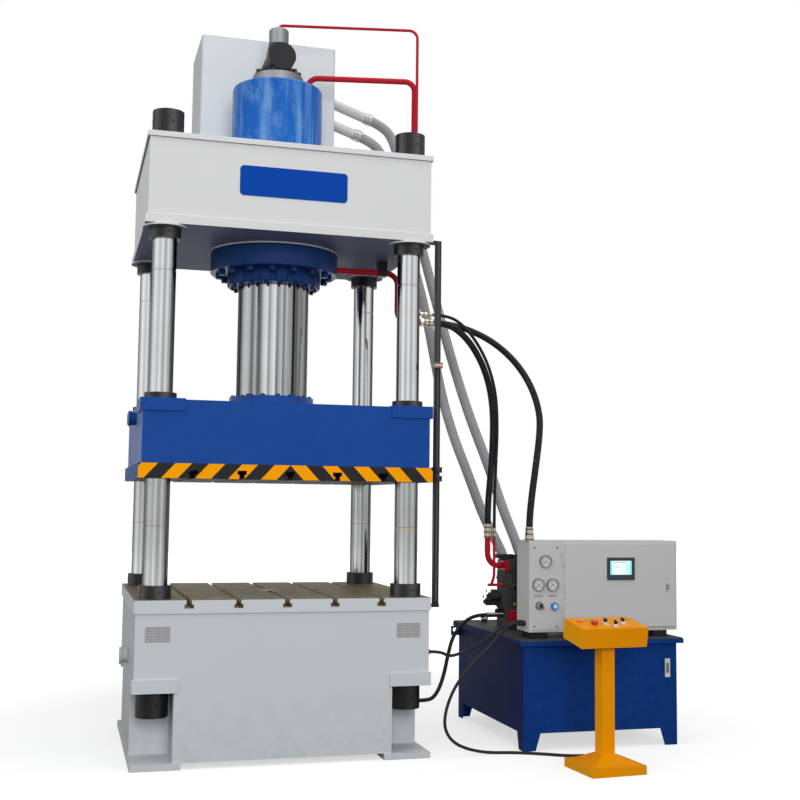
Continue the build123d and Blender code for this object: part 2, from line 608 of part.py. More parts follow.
# Black cable glands
with BuildPart() as cable_glands:
    along_x(1585, CAB_X0, -560, 811, 17)
    along_x(1585, CAB_X0, -604, 811, 17)
    along_x(BED_HALF_X, 940, -690, 650, 16)
    with Locations(foot_place):
        with Locations((8, 189, 36)):
            Cylinder(15, 26, rotation=(90, 0, 0))
cable_glands.part.label = "cable_glands"
export_step(cable_glands.part, "parts/cable_glands.step")

# Limit-switch rail at the front right corner, on a foot at the table and a foot under the crown
RAIL_OUT = 53
RAIL_SIZE = 36
RAIL_FROM_FRONT = 102
RAIL_LOW = BED_TOP + 12
RAIL_TOP = CROWN_LOW + 28
rail_x = BED_HALF_X + RAIL_OUT
rail_y = -BED_HALF_Y + RAIL_FROM_FRONT
with BuildPart() as limit_rail:
    box_at(rail_x, rail_x + RAIL_SIZE, rail_y - RAIL_SIZE / 2, rail_y + RAIL_SIZE / 2, RAIL_LOW, RAIL_TOP)
    box_at(BED_HALF_X + TABLE_LIP_X, rail_x + RAIL_SIZE, rail_y - 30, rail_y + 30, RAIL_LOW, RAIL_LOW + 22)
    box_at(CROWN_X + CROWN_FOOT_X, rail_x + RAIL_SIZE, rail_y - RAIL_SIZE / 2, rail_y + RAIL_SIZE / 2,
           RAIL_TOP - 24, RAIL_TOP)
    for z in (CROWN_LOW - 804, HEAD_LOW + 84, HEAD_LOW + 27):
        box_at(rail_x - 8, rail_x + RAIL_SIZE + 8, rail_y - 44, rail_y + 26, z - 18, z + 18)
        along_y(rail_x + RAIL_SIZE / 2, rail_y - 52, rail_y - 40, z, 9)
limit_rail.part.label = "limit_rail"
export_step(limit_rail.part, "parts/limit_rail.step")

# Plates without any writing: one on the crown, two on the bed
PLATE_THICK = 3
with BuildPart() as blank_plates:
    with BuildSketch(Plane.XZ.offset(CROWN_Y)):
        with Locations((-2.5, CROWN_LOW + 311.5)):
            RectangleRounded(695, 193, 26)
    extrude(amount=PLATE_THICK)
    box_at(-BED_HALF_X + 58, -BED_HALF_X + 208, -BED_HALF_Y - 2, -BED_HALF_Y, BED_TOP - 166, BED_TOP - 76)
    box_at(BED_HALF_X - 212, BED_HALF_X - 59, -BED_HALF_Y - 2, -BED_HALF_Y, BED_TOP - 167, BED_TOP - 77)
blank_plates.part.label = "blank_plates"
export_step(blank_plates.part, "parts/blank_plates.step")

# Ejector in the bed
with BuildPart() as ejector_cylinder:
    round_at(0, 0, EJECTOR_LOW, EJECTOR_TOP, EJECTOR_R)
    round_at(0, 0, EJECTOR_LOW + 40, EJECTOR_TOP - 40, EJECTOR_R - EJECTOR_WALL, Mode.SUBTRACT)
    round_at(0, 0, EJECTOR_TOP - 50, EJECTOR_TOP + 10, EJECTOR_ROD_R + RUN_FIT, Mode.SUBTRACT)
ejector_cylinder.part.label = "ejector_cylinder"
export_step(ejector_cylinder.part, "parts/ejector_cylinder.step")

with BuildPart() as ejector_rod:
    round_at(0, 0, EJECTOR_LOW + 50, EJECTOR_LOW + 110, EJECTOR_R - EJECTOR_WALL - RUN_FIT)
    round_at(0, 0, EJECTOR_LOW + 100, TABLE_TOP - 35, EJECTOR_ROD_R)
    round_at(0, 0, TABLE_TOP - 40, TABLE_TOP, EJECTOR_HEAD_R - RUN_FIT)
ejector_rod.part.label = "ejector_rod"
export_step(ejector_rod.part, "parts/ejector_rod.step")

# Oil tank on four angle legs, with a flange round its open top
EAR_HOLE_R = 16
with BuildPart() as oil_tank:
    box_at(TANK_X0, TANK_X1, TANK_Y0, TANK_Y1, TANK_Z0, LIP_TOP)
    box_at(TANK_X0 - LIP_X, TANK_X1 + LIP_X, TANK_Y0 - LIP_FRONT, TANK_Y1 + LIP_BACK, TANK_Z1, LIP_TOP)
    box_at(TANK_X0 + TANK_WALL, TANK_X1 - TANK_WALL, TANK_Y0 + TANK_WALL, TANK_Y1 - TANK_WALL,
           TANK_Z0 + TANK_WALL, LIP_TOP + 6, Mode.SUBTRACT)
    for x0, x1, side in ((TANK_X0, TANK_X0 + LEG_WIDE, TANK_X0),
                         (TANK_X1 - LEG_WIDE, TANK_X1, TANK_X1 - LEG_THICK)):
        box_at(x0, x1, TANK_Y0, TANK_Y0 + LEG_THICK, 0, TANK_Z0)
        box_at(x0, x1, TANK_Y1 - LEG_THICK, TANK_Y1, 0, TANK_Z0)
        box_at(side, side + LEG_THICK, TANK_Y0, TANK_Y0 + LEG_DEEP, 0, TANK_Z0)
        box_at(side, side + LEG_THICK, TANK_Y1 - LEG_DEEP, TANK_Y1, 0, TANK_Z0)
    for x0, x1, hole in ((TANK_X0 - 65, TANK_X0, TANK_X0 - 37), (TANK_X1, TANK_X1 + 65, TANK_X1 + 37)):
        box_at(x0, x1, TANK_Y1 - 16, TANK_Y1, TANK_Z1 - 70, TANK_Z1)
        along_y(hole, TANK_Y1 - 24, TANK_Y1 + 6, TANK_Z1 - 28, EAR_HOLE_R, Mode.SUBTRACT)
oil_tank.part.label = "oil_tank"
export_step(oil_tank.part, "parts/oil_tank.step")

# Tank lid with the stubs of the two return hoses and a breather
with BuildPart() as tank_lid:
    box_at(TANK_X0 - 32, TANK_X1 + 32, TANK_Y0 - 31, TANK_Y1 + 32, LIP_TOP, LID_TOP)
    for x, y in ((2010, 270), (1895, 330)):
        round_at(x, y, LID_TOP, LID_TOP + 50, HOSE_R)
        round_at(x, y, LID_TOP + 10, LID_TOP + 56, HOSE_R - 8, Mode.SUBTRACT)
        round_at(x, y, LID_TOP, LID_TOP + 10, HOSE_R + 14)
    round_at(TANK_X0 + 153, TANK_Y1 - 142, LID_TOP, LID_TOP + 24, 22)
    round_at(TANK_X0 + 153, TANK_Y1 - 142, LID_TOP + 24, LID_TOP + 54, 30)
tank_lid.part.label = "tank_lid"
export_step(tank_lid.part, "parts/tank_lid.step")

with BuildPart() as level_gauge:
    box_at(TANK_X1 - 98, TANK_X1 - 59, TANK_Y0 - 18, TANK_Y0, TANK_Z1 - 225, TANK_Z1 - 102)
    box_at(TANK_X1 - 86, TANK_X1 - 71, TANK_Y0 - 25, TANK_Y0 - 12, TANK_Z1 - 200, TANK_Z1 - 127)
level_gauge.part.label = "level_gauge"
export_step(level_gauge.part, "parts/level_gauge.step")

# Valve manifold on the lid: stacked blocks and a front cover block
with BuildPart() as manifold_block:
    box_at(BLOCK_X0, BLOCK_X1, BLOCK_Y0, BLOCK_Y1, LID_TOP, BLOCK_TOP - 104)
    box_at(BLOCK_X0, BLOCK_X0 + 68, BLOCK_Y0 - 6, BLOCK_Y1 - 10, BLOCK_TOP - 104, BLOCK_TOP - 20)
    box_at(BLOCK_X0 + 68, BLOCK_X1, BLOCK_Y0, BLOCK_Y1, BLOCK_TOP - 104, BLOCK_TOP)
    box_at(BLOCK_X0 + 28, BLOCK_X0 + 90, BLOCK_Y0 - 30, BLOCK_Y0, LID_TOP + 46, LID_TOP + 136)
    box_at(BLOCK_X0 - 12, BLOCK_X0, BLOCK_Y0 + 20, BLOCK_Y1 - 20, LID_TOP + 166, LID_TOP + 261)
    box_at(BLOCK_X0 - 16, BLOCK_X0, BLOCK_Y0 + 10, BLOCK_Y1 - 30, LID_TOP + 346, LID_TOP + 376)
manifold_block.part.label = "manifold_block"
export_step(manifold_block.part, "parts/manifold_block.step")

# Solenoid valves: two at the side, one along the top
with BuildPart() as solenoid_valves:
    for y, z in ((BLOCK_Y0 + 50, LID_TOP + 234), (BLOCK_Y0 + 114, LID_TOP + 190)):
        along_x(BLOCK_X0 - 100, BLOCK_X0 - 12, y, z, 27)
        along_x(BLOCK_X0 - 116, BLOCK_X0 - 100, y, z, 15)
        box_at(BLOCK_X0 - 82, BLOCK_X0 - 42, y - 20, y + 20, z + 20, z + 46)
    along_x(BLOCK_X0 - 60, BLOCK_X0 + 68, BLOCK_Y0 + 18, BLOCK_TOP + 7, 15)
    box_at(BLOCK_X0 - 32, BLOCK_X0 + 40, BLOCK_Y0, BLOCK_Y0 + 40, BLOCK_TOP - 20, BLOCK_TOP + 2)
    box_at(BLOCK_X0 + 68, BLOCK_X0 + 96, BLOCK_Y0 + 2, BLOCK_Y0 + 34, BLOCK_TOP, BLOCK_TOP + 16)
solenoid_valves.part.label = "solenoid_valves"
export_step(solenoid_valves.part, "parts/solenoid_valves.step")

# Red pipes at the manifold
elbow_run = ((1545, -100, 1361), (1545, -100, 1165), (1690, -60, 1165))
drop_run = ((1595, -100, 1361), (1595, -100, 1090), (1584, -80, 1036))
with BuildPart() as manifold_pipes:
    with BuildLine() as elbow_line:
        FilletPolyline(*elbow_run, radius=90)
    with BuildSketch(start_plane(elbow_run)):
        Circle(PIPE_R)
    sweep(path=elbow_line.wire())
    box_at(BLOCK_X0, BLOCK_X0 + 58, BLOCK_Y0, BLOCK_Y1 - 50, BLOCK_TOP - 104, BLOCK_TOP - 20, Mode.SUBTRACT)
    with BuildLine() as drop_line:
        FilletPolyline(*drop_run, radius=70)
    with BuildSketch(start_plane(drop_run)):
        Circle(PILOT_R)
    sweep(path=drop_line.wire())
    along_x(1556, BLOCK_X0 - 16, -80, 1028, PILOT_R)
    along_x(BLOCK_X0 - 32, BLOCK_X0, -80, 1028, 14)
manifold_pipes.part.label = "manifold_pipes"
export_step(manifold_pipes.part, "parts/manifold_pipes.step")

# Motor and pump on the lid, behind the cabinet
MOTOR_X = TANK_X0 + 729
MOTOR_Y = TANK_Y0 + 720
MOTOR_R = 145
MOTOR_FOOT_R = 165
with BuildPart() as motor_pump:
    round_at(MOTOR_X, MOTOR_Y, LID_TOP, LID_TOP + 20, MOTOR_FOOT_R)
    round_at(MOTOR_X, MOTOR_Y, LID_TOP + 20, LID_TOP + 166, 118)
    round_at(MOTOR_X, MOTOR_Y, LID_TOP + 166, LID_TOP + 186, MOTOR_FOOT_R)
    round_at(MOTOR_X, MOTOR_Y, LID_TOP + 186, LID_TOP + 476, MOTOR_R)
    with Locations((MOTOR_X, MOTOR_Y, LID_TOP + 331)):
        with PolarLocations(MOTOR_R + 5, 24):
            Box(16, 4, 280)
    round_at(MOTOR_X, MOTOR_Y, LID_TOP + 476, LID_TOP + 556, MOTOR_R + 7)
    box_at(MOTOR_X - 180, MOTOR_X - 110, MOTOR_Y - 60, MOTOR_Y + 60, LID_TOP + 286, LID_TOP + 396)
motor_pump.part.label = "motor_pump"
export_step(motor_pump.part, "parts/motor_pump.step")

# Electrical cabinet on three risers, with the fixed halves of the door's hinges
with BuildPart() as cabinet_shell:
    box_at(CAB_X0, CAB_X1, CAB_Y0, CAB_Y1, CAB_Z0, CAB_Z1)
    box_at(CAB_X0 + SHEET, DIVIDER_X, CAB_Y0 + SHEET, CAB_Y1 - SHEET, CAB_Z0 + SHEET, CAB_Z1 - SHEET,
           Mode.SUBTRACT)
    box_at(DIVIDER_X + SHEET, CAB_X1 - SHEET, CAB_Y0 + SHEET, CAB_Y1 - SHEET, CAB_Z0 + SHEET, CAB_Z1 - SHEET,
           Mode.SUBTRACT)
    box_at(PANEL_X0 + 14, PANEL_X1 - 14, CAB_Y0 - 5, CAB_Y0 + 10, PANEL_Z0 + 28, PANEL_Z1 - 28, Mode.SUBTRACT)
    box_at(DOOR_X0 + 14, DOOR_X1 - 14, CAB_Y0 - 5, CAB_Y0 + 10, DOOR_Z0 + 14, DOOR_Z1 - 14, Mode.SUBTRACT)
    for x0 in (CAB_X0 + 31, CAB_X0 + 471, CAB_X0 + 907):
        box_at(x0, x0 + 106, CAB_Y0 + 15, CAB_Y1 - 14, LID_TOP, CAB_Z0)
    for z in (DOOR_Z0 + 60, DOOR_Z1 - 60 - 2 * HINGE_TALL):
        box_at(HINGE_X - 2, HINGE_X + 2, HINGE_Y, CAB_Y0, z, z + HINGE_TALL)
        round_at(HINGE_X, HINGE_Y, z, z + HINGE_TALL, HINGE_R)
cabinet_shell.part.label = "cabinet_shell"
export_step(cabinet_shell.part, "parts/cabinet_shell.step")

# Door with a folded edge, the moving halves of its hinges, and holes for the screen and the latch
SCREEN_HALF_X = 101
SCREEN_HALF_Z = 75
SCREEN_HOLE_X = 90
SCREEN_HOLE_Z = 64
LATCH_R = 10
with BuildPart() as cabinet_door:
    box_at(DOOR_X0, DOOR_X1, DOOR_FRONT, DOOR_BACK, DOOR_Z0, DOOR_Z1)
    box_at(DOOR_X0 + DOOR_SHEET, DOOR_X1 - DOOR_SHEET, DOOR_FRONT + DOOR_SHEET, DOOR_BACK + 5,
           DOOR_Z0 + DOOR_SHEET, DOOR_Z1 - DOOR_SHEET, Mode.SUBTRACT)
    box_at(SCREEN_X - SCREEN_HOLE_X, SCREEN_X + SCREEN_HOLE_X, DOOR_FRONT - 7, DOOR_FRONT + 8,
           SCREEN_Z - SCREEN_HOLE_Z, SCREEN_Z + SCREEN_HOLE_Z, Mode.SUBTRACT)
    along_y(LATCH_X, DOOR_FRONT - 7, DOOR_FRONT + 8, LATCH_Z, LATCH_R, Mode.SUBTRACT)
    for z in (DOOR_Z0 + 60 + HINGE_TALL, DOOR_Z1 - 60 - HINGE_TALL):
        box_at(HINGE_X, DOOR_X0, HINGE_Y - 2, HINGE_Y + 2, z + 0.5, z + HINGE_TALL)
        round_at(HINGE_X, HINGE_Y, z + 0.5, z + HINGE_TALL, HINGE_R)
cabinet_door.part.label = "cabinet_door"
export_step(cabinet_door.part, "parts/cabinet_door.step")

with BuildPart() as door_latch:
    box_at(LATCH_X - 13, LATCH_X + 13, DOOR_FRONT - 6, DOOR_FRONT - 0.3, LATCH_Z - 28, LATCH_Z + 28)
    box_at(LATCH_X - 8, LATCH_X + 8, DOOR_FRONT - 15, DOOR_FRONT - 6, LATCH_Z - 23, LATCH_Z + 23)
    along_y(LATCH_X, DOOR_FRONT - 6, DOOR_BACK + 15, LATCH_Z, LATCH_R - RUN_FIT)
    box_at(LATCH_X - 7, LATCH_X + 7, DOOR_BACK + 11, DOOR_BACK + 15, LATCH_Z - 36, LATCH_Z + 9)
door_latch.part.label = "door_latch"
export_step(door_latch.part, "parts/door_latch.step")

with BuildPart() as touch_screen:
    box_at(SCREEN_X - SCREEN_HALF_X, SCREEN_X + SCREEN_HALF_X, DOOR_FRONT - 8, DOOR_FRONT,
           SCREEN_Z - SCREEN_HALF_Z, SCREEN_Z + SCREEN_HALF_Z)
    box_at(SCREEN_X - 80, SCREEN_X + 80, DOOR_FRONT - 13, DOOR_FRONT - 3, SCREEN_Z - 40, SCREEN_Z + 54,
           Mode.SUBTRACT)
    box_at(SCREEN_X - SCREEN_HOLE_X, SCREEN_X + SCREEN_HOLE_X, DOOR_FRONT, DOOR_FRONT + 43,
           SCREEN_Z - SCREEN_HOLE_Z, SCREEN_Z + SCREEN_HOLE_Z)
touch_screen.part.label = "touch_screen"
export_step(touch_screen.part, "parts/touch_screen.step")

# Plate in the cabinet with the switchgear on it
PLATE_FRONT = CAB_Y1 - 10
with BuildPart() as mounting_plate:
    box_at(CAB_X0 + 271, CAB_X1 - 41, PLATE_FRONT, CAB_Y1 - SHEET, CAB_Z0 + 43, CAB_Z1 - 38)
    box_at(CAB_X0 + 311, CAB_X1 - 71, PLATE_FRONT - 26, PLATE_FRONT, CAB_Z0 + 423, CAB_Z0 + 431)
    box_at(CAB_X0 + 311, CAB_X1 - 71, PLATE_FRONT - 26, PLATE_FRONT, CAB_Z0 + 183, CAB_Z0 + 191)
    for out in (321, 411, 501, 621, 741, 861, 941):
        box_at(CAB_X0 + out, CAB_X0 + out + 66, PLATE_FRONT - 94, PLATE_FRONT, CAB_Z0 + 453, CAB_Z0 + 533)
    for out in (321, 431, 541, 671, 811, 931):
        box_at(CAB_X0 + out, CAB_X0 + out + 80, PLATE_FRONT - 79, PLATE_FRONT, CAB_Z0 + 223, CAB_Z0 + 323)
mounting_plate.part.label = "mounting_plate"
export_step(mounting_plate.part, "parts/mounting_plate.step")

# Gauge panel with three pressure gauges and two adjusting knobs
GAUGE_R = 43
GAUGE_NECK_R = 35
GAUGE_OUT = 23
KNOB_STEM_R = 8
GAUGES = (
    (PANEL_X0 + 99, CAB_Z1 - 135), (PANEL_X0 + 49, CAB_Z1 - 289), (PANEL_X0 + 149, CAB_Z1 - 290))
KNOB_SILVER = (PANEL_X0 + 56, CAB_Z1 - 426)
KNOB_BLUE = (PANEL_X0 + 161, CAB_Z1 - 431)
with BuildPart() as gauge_panel:
    box_at(PANEL_X0, PANEL_X1, PANEL_FRONT, CAB_Y0, PANEL_Z0, PANEL_Z1)
    for x, z in GAUGES:
        along_y(x, PANEL_FRONT - 9, CAB_Y0 + 5, z, GAUGE_NECK_R, Mode.SUBTRACT)
    for x, z in (KNOB_SILVER, KNOB_BLUE):
        along_y(x, PANEL_FRONT - 9, CAB_Y0 + 5, z, KNOB_STEM_R, Mode.SUBTRACT)
    for x, z in ((PANEL_X0 + 20, PANEL_Z1 - 21), (PANEL_X1 - 22, PANEL_Z1 - 21),
                 (PANEL_X0 + 19, PANEL_Z0 + 26), (PANEL_X1 - 25, PANEL_Z0 + 24)):
        along_y(x, PANEL_FRONT - 4, PANEL_FRONT, z, 8)
gauge_panel.part.label = "gauge_panel"
export_step(gauge_panel.part, "parts/gauge_panel.step")

gauge_front = PANEL_FRONT - GAUGE_OUT
with BuildPart() as gauges:
    for x, z in GAUGES:
        along_y(x, gauge_front, PANEL_FRONT, z, GAUGE_R)
        along_y(x, gauge_front - 6, gauge_front + 14, z, GAUGE_R - 5, Mode.SUBTRACT)
        along_y(x, PANEL_FRONT, PANEL_FRONT + 41, z, GAUGE_NECK_R)
        along_y(x, PANEL_FRONT + 41, PANEL_FRONT + 59, z, 9)
        along_y(x, gauge_front + 1.5, gauge_front + 4, z, GAUGE_R - 5)
        along_y(x, gauge_front + 12, gauge_front + 44, z, 2 + RUN_FIT, Mode.SUBTRACT)
gauges.part.label = "gauges"
export_step(gauges.part, "parts/gauges.step")


def needle(x, z):
    """Needle that points down to the left, at zero."""
    along_y(x, gauge_front + 7, gauge_front + 13, z, 4.5)
    along_y(x, gauge_front + 12, gauge_front + 43, z, 2)
    with Locations(Location((x, gauge_front + 9, z), (0, 225, 0))):
        with Locations((0, 0, 11)):
            Box(2.4, 1.6, 42)


with BuildPart() as needle_top:
    needle(*GAUGES[0])
needle_top.part.label = "needle_top"
export_step(needle_top.part, "parts/needle_top.step")

with BuildPart() as needle_left:
    needle(*GAUGES[1])
needle_left.part.label = "needle_left"
export_step(needle_left.part, "parts/needle_left.step")

with BuildPart() as needle_right:
    needle(*GAUGES[2])
needle_right.part.label = "needle_right"
export_step(needle_right.part, "parts/needle_right.step")

KNOB_GAP = 0.3
with BuildPart() as knob_silver:
    along_y(KNOB_SILVER[0], PANEL_FRONT - 35, PANEL_FRONT - KNOB_GAP, KNOB_SILVER[1], 20.5)
    along_y(KNOB_SILVER[0], PANEL_FRONT - 9, PANEL_FRONT + 26, KNOB_SILVER[1], KNOB_STEM_R - RUN_FIT)
    with Locations((KNOB_SILVER[0], PANEL_FRONT - 18, KNOB_SILVER[1])):
        with Locations(Location((0, 0, 0), (90, 0, 0))):
            with PolarLocations(22, 14):
                Cylinder(3, 40, mode=Mode.SUBTRACT)
knob_silver.part.label = "knob_silver"
export_step(knob_silver.part, "parts/knob_silver.step")

with BuildPart() as knob_blue:
    along_y(KNOB_BLUE[0], PANEL_FRONT - 27, PANEL_FRONT - KNOB_GAP, KNOB_BLUE[1], 26)
    along_y(KNOB_BLUE[0], PANEL_FRONT - 9, PANEL_FRONT + 26, KNOB_BLUE[1], KNOB_STEM_R - RUN_FIT)
    with Locations(Location((KNOB_BLUE[0], PANEL_FRONT - 18, KNOB_BLUE[1]), (90, 0, 0))):
        with PolarLocations(29, 6):
            Cylinder(8, 40, mode=Mode.SUBTRACT)
knob_blue.part.label = "knob_blue"
export_step(knob_blue.part, "parts/knob_blue.step")

# Operator's console: foot, post and sloping desk box
desk = Plane(Location((1858, -1333, 761), (0, 0, 4.3)) * Location((0, 0, 0), (10.2, 0, 0)))
DESK_H = 120
desk_top = desk.offset(DESK_H)
STOP = (-98, -28)
START = (-154, 52)
SELECT_1 = (-8, 2)
SELECT_2 = (34, -48)
SELECT_3 = (112, 4)
with BuildPart() as console_stand:
    with Locations(foot_place):
        with Locations((0, 0, 27)):
            Box(365, 352, 54)
    with BuildSketch(Plane(foot_place).offset(54)):
        Rectangle(310, 298)
    with BuildSketch(Plane(foot_place).offset(106)):
        Rectangle(118, 118)
    loft()
    with Locations(foot_place):
        with Locations((0, 0, 440)):
            Box(118, 118, 680)
    with BuildSketch(desk):
        with Locations((7, 13)):
            Rectangle(446, 242)
    extrude(amount=DESK_H)
    with BuildSketch(desk_top):
        with Locations(START, SELECT_1, SELECT_2, SELECT_3):
            Circle(17)
        with Locations(STOP):
            Circle(19)
    extrude(amount=4)
    with BuildSketch(desk_top.offset(4)):
        with Locations(START, STOP, SELECT_1, SELECT_2, SELECT_3):
            Circle(11)
    extrude(amount=-30, mode=Mode.SUBTRACT)
console_stand.part.label = "console_stand"
export_step(console_stand.part, "parts/console_stand.step")

with BuildPart() as emergency_stop:
    with BuildSketch(desk_top.offset(12)):
        with Locations(STOP):
            Circle(22)
    extrude(amount=16)
    with BuildSketch(desk_top.offset(-18)):
        with Locations(STOP):
            Circle(11 - RUN_FIT)
    extrude(amount=31)
    fillet(emergency_stop.faces().sort_by(Axis(desk_top.origin, desk_top.z_dir))[-1].edges(), 6)
emergency_stop.part.label = "emergency_stop"
export_step(emergency_stop.part, "parts/emergency_stop.step")

with BuildPart() as start_button:
    with BuildSketch(desk_top.offset(-18)):
        with Locations(START):
            Circle(11 - RUN_FIT)
    extrude(amount=28)
start_button.part.label = "start_button"
export_step(start_button.part, "parts/start_button.step")


def selector(place):
    """Selector switch: round stem with a grip bar."""
    with Locations(desk_top.location):
        with Locations((place[0], place[1], -6.5)):
            Cylinder(11 - RUN_FIT, 23)
        with Locations((place[0], place[1], 8.3)):
            Cylinder(15, 8)
        with Locations((place[0], place[1], 22)):
            Box(10, 30, 20)


with BuildPart() as selector_left:
    selector(SELECT_1)
selector_left.part.label = "selector_left"
export_step(selector_left.part, "parts/selector_left.step")

with BuildPart() as selector_middle:
    selector(SELECT_2)
selector_middle.part.label = "selector_middle"
export_step(selector_middle.part, "parts/selector_middle.step")

with BuildPart() as selector_right:
    selector(SELECT_3)
selector_right.part.label = "selector_right"
export_step(selector_right.part, "parts/selector_right.step")

# Grey return hoses from the fill tank's pipes to the stubs on the oil tank's lid
upper_points = [
    (866, 850, 4618), (986, 850, 4576.9), (1073, 850, 4484), (1142, 850, 4243), (1275, 850, 3790),
    (1470, 815, 3060), (1570, 730, 2625), (1665, 625, 2244), (1774, 515, 1887), (1860, 410, 1538),
    (1934, 335, 1308), (1990, 285, 1070), (2010, 270, 910), (2010, 270, 764)]
with BuildPart() as return_hose_upper:
    with BuildLine() as upper_line:
        FilletPolyline(*upper_points, radius=bend_radii(upper_points))
    with BuildSketch(start_plane(upper_points)):
        Circle(38)
    sweep(path=upper_line.wire())
return_hose_upper.part.label = "return_hose_upper"
export_step(return_hose_upper.part, "parts/return_hose_upper.step")

lower_points = [
    (780, 850, 4479), (900, 850, 4439.196), (988, 850, 4347), (1062, 850, 4110), (1190, 850, 3690),
    (1350, 838, 3150), (1457, 760, 2482), (1539, 680, 2123), (1634, 590, 1825), (1726, 490, 1498),
    (1835, 400, 1253), (1882, 350, 1080), (1895, 330, 920), (1895, 330, 764)]
with BuildPart() as return_hose_lower:
    with BuildLine() as lower_line:
        FilletPolyline(*lower_points, radius=bend_radii(lower_points))
    with BuildSketch(start_plane(lower_points)):
        Circle(38)
    sweep(path=lower_line.wire())
return_hose_lower.part.label = "return_hose_lower"
export_step(return_hose_lower.part, "parts/return_hose_lower.step")

# Black pressure hoses
ram_points = [
    (1127, -100, 2870), (1210, -100, 2870), (1312, -100, 2832), (1427, -100, 2720), (1530, -100, 2530),
    (1583, -100, 2290), (1581, -100, 1990), (1557, -100, 1720), (1545, -100, 1570), (1545, -100, 1456)]
with BuildPart() as ram_hose:
    with BuildLine() as ram_line:
        FilletPolyline(*ram_points, radius=bend_radii(ram_points))
    with BuildSketch(start_plane(ram_points)):
        Circle(23)
    sweep(path=ram_line.wire())
ram_hose.part.label = "ram_hose"
export_step(ram_hose.part, "parts/ram_hose.step")

pullback_points = [
    (1156, 0, 2887), (1250, 0, 2887), (1400, -65, 2845), (1560, -155, 2750), (1690, -262, 2600),
    (1765, -372, 2420), (1790, -462, 2230), (1765, -525, 2080), (1712, -582, 1850), (1668, -622, 1660),
    (1643, -640, 1490), (1643, -640, 1384)]
with BuildPart() as pullback_hose:
    with BuildLine() as pullback_line:
        FilletPolyline(*pullback_points, radius=bend_radii(pullback_points))
    with BuildSketch(start_plane(pullback_points)):
        Circle(23)
    sweep(path=pullback_line.wire())
pullback_hose.part.label = "pullback_hose"
export_step(pullback_hose.part, "parts/pullback_hose.step")

# Thin pilot hose beside the first pressure hose
pilot_points = [
    (1095, -200, 2912), (1180, -200, 2912), (1300, -192, 2885), (1430, -180, 2790), (1550, -165, 2620),
    (1622, -150, 2400), (1640, -135, 2150), (1628, -122, 1890), (1604, -108, 1670), (1595, -100, 1540),
    (1595, -100, 1428)]
with BuildPart() as pilot_hose:
    with BuildLine() as pilot_hose_line:
        FilletPolyline(*pilot_points, radius=bend_radii(pilot_points))
    with BuildSketch(start_plane(pilot_points)):
        Circle(11)
    sweep(path=pilot_hose_line.wire())
pilot_hose.part.label = "pilot_hose"
export_step(pilot_hose.part, "parts/pilot_hose.step")

# Hose from the manifold to the ejector in the bed
ejector_points = [
    (1544, -80, 819), (1470, -80, 819), (1378, -84, 775), (1290, -105, 680), (1240, -150, 555),
    (1195, -210, 440), (1135, -290, 352), (1065, -375, 305), (1005, -420, 300), (945, -420, 300)]
with BuildPart() as ejector_hose:
    with BuildLine() as ejector_line:
        FilletPolyline(*ejector_points, radius=bend_radii(ejector_points))
    with BuildSketch(start_plane(ejector_points)):
        Circle(13)
    sweep(path=ejector_line.wire())
ejector_hose.part.label = "ejector_hose"
export_step(ejector_hose.part, "parts/ejector_hose.step")

# Cables from the cabinet: one to the bed, one along the floor to the console
bed_points = [
    (1585, -560, 811), (1510, -560, 811), (1425, -560, 745), (1320, -560, 668), (1200, -568, 622),
    (1100, -605, 604), (1012, -690, 650), (940, -690, 650)]
with BuildPart() as bed_cable:
    with BuildLine() as bed_line:
        FilletPolyline(*bed_points, radius=bend_radii(bed_points))
    with BuildSketch(start_plane(bed_points)):
        Circle(10)
    sweep(path=bed_line.wire())
bed_cable.part.label = "bed_cable"
export_step(bed_cable.part, "parts/bed_cable.step")

console_points = [
    (1585, -604, 811), (1520, -604, 811), (1450, -614, 745), (1370, -650, 672), (1270, -695, 608),
    (1165, -745, 527), (1066, -795, 422), (1010, -815, 300), (1000, -818, 190), (1060, -800, 100),
    (1175, -760, 42), (1320, -745, 10.5), (1480, -768, 10.5), (1640, -845, 10.5), (1772, -935, 11),
    (1834, -1008, 22), (1844.419, -1071.18, 36), (1849.127, -1130.995, 36)]
with BuildPart() as console_cable:
    with BuildLine() as console_line:
        FilletPolyline(*console_points, radius=bend_radii(console_points))
    with BuildSketch(start_plane(console_points)):
        Circle(10)
    sweep(path=console_line.wire())
console_cable.part.label = "console_cable"
export_step(console_cable.part, "parts/console_cable.step")

CORDS = (
    ("return_hose_upper", upper_points, upper_line, 38, return_hose_upper),
    ("return_hose_lower", lower_points, lower_line, 38, return_hose_lower),
    ("ram_hose", ram_points, ram_line, 23, ram_hose),
    ("pullback_hose", pullback_points, pullback_line, 23, pullback_hose),
    ("pilot_hose", pilot_points, pilot_hose_line, 11, pilot_hose),
    ("ejector_hose", ejector_points, ejector_line, 13, ejector_hose),
    ("bed_cable", bed_points, bed_line, 10, bed_cable),
    ("console_cable", console_points, console_line, 10, console_cable))
for name, points, line, radius, solid in CORDS:
    runs = [(Vector(*b) - Vector(*a)).length for a, b in zip(points, points[1:])]
    length = line.wire().length
    print(name, "length", round(length), "volume ratio",
          round(solid.part.volume / (length * 3.14159265 * radius * radius), 4),
          "runs", [round(r) for r in runs], "radii", [round(r) for r in bend_radii(points)])
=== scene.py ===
# %% [markdown]
# # A four-column hydraulic press
#
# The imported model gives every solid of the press, in metres, where it stands. This lesson dresses it: the
# camera and the hoses first, then paints and metals, soft edges, the small things that repeat, such as bolts
# and dial marks, and last the floor and the light.

# %% Load the press
import json
import math
import bmesh
import bpy
from mathutils import Matrix, Vector


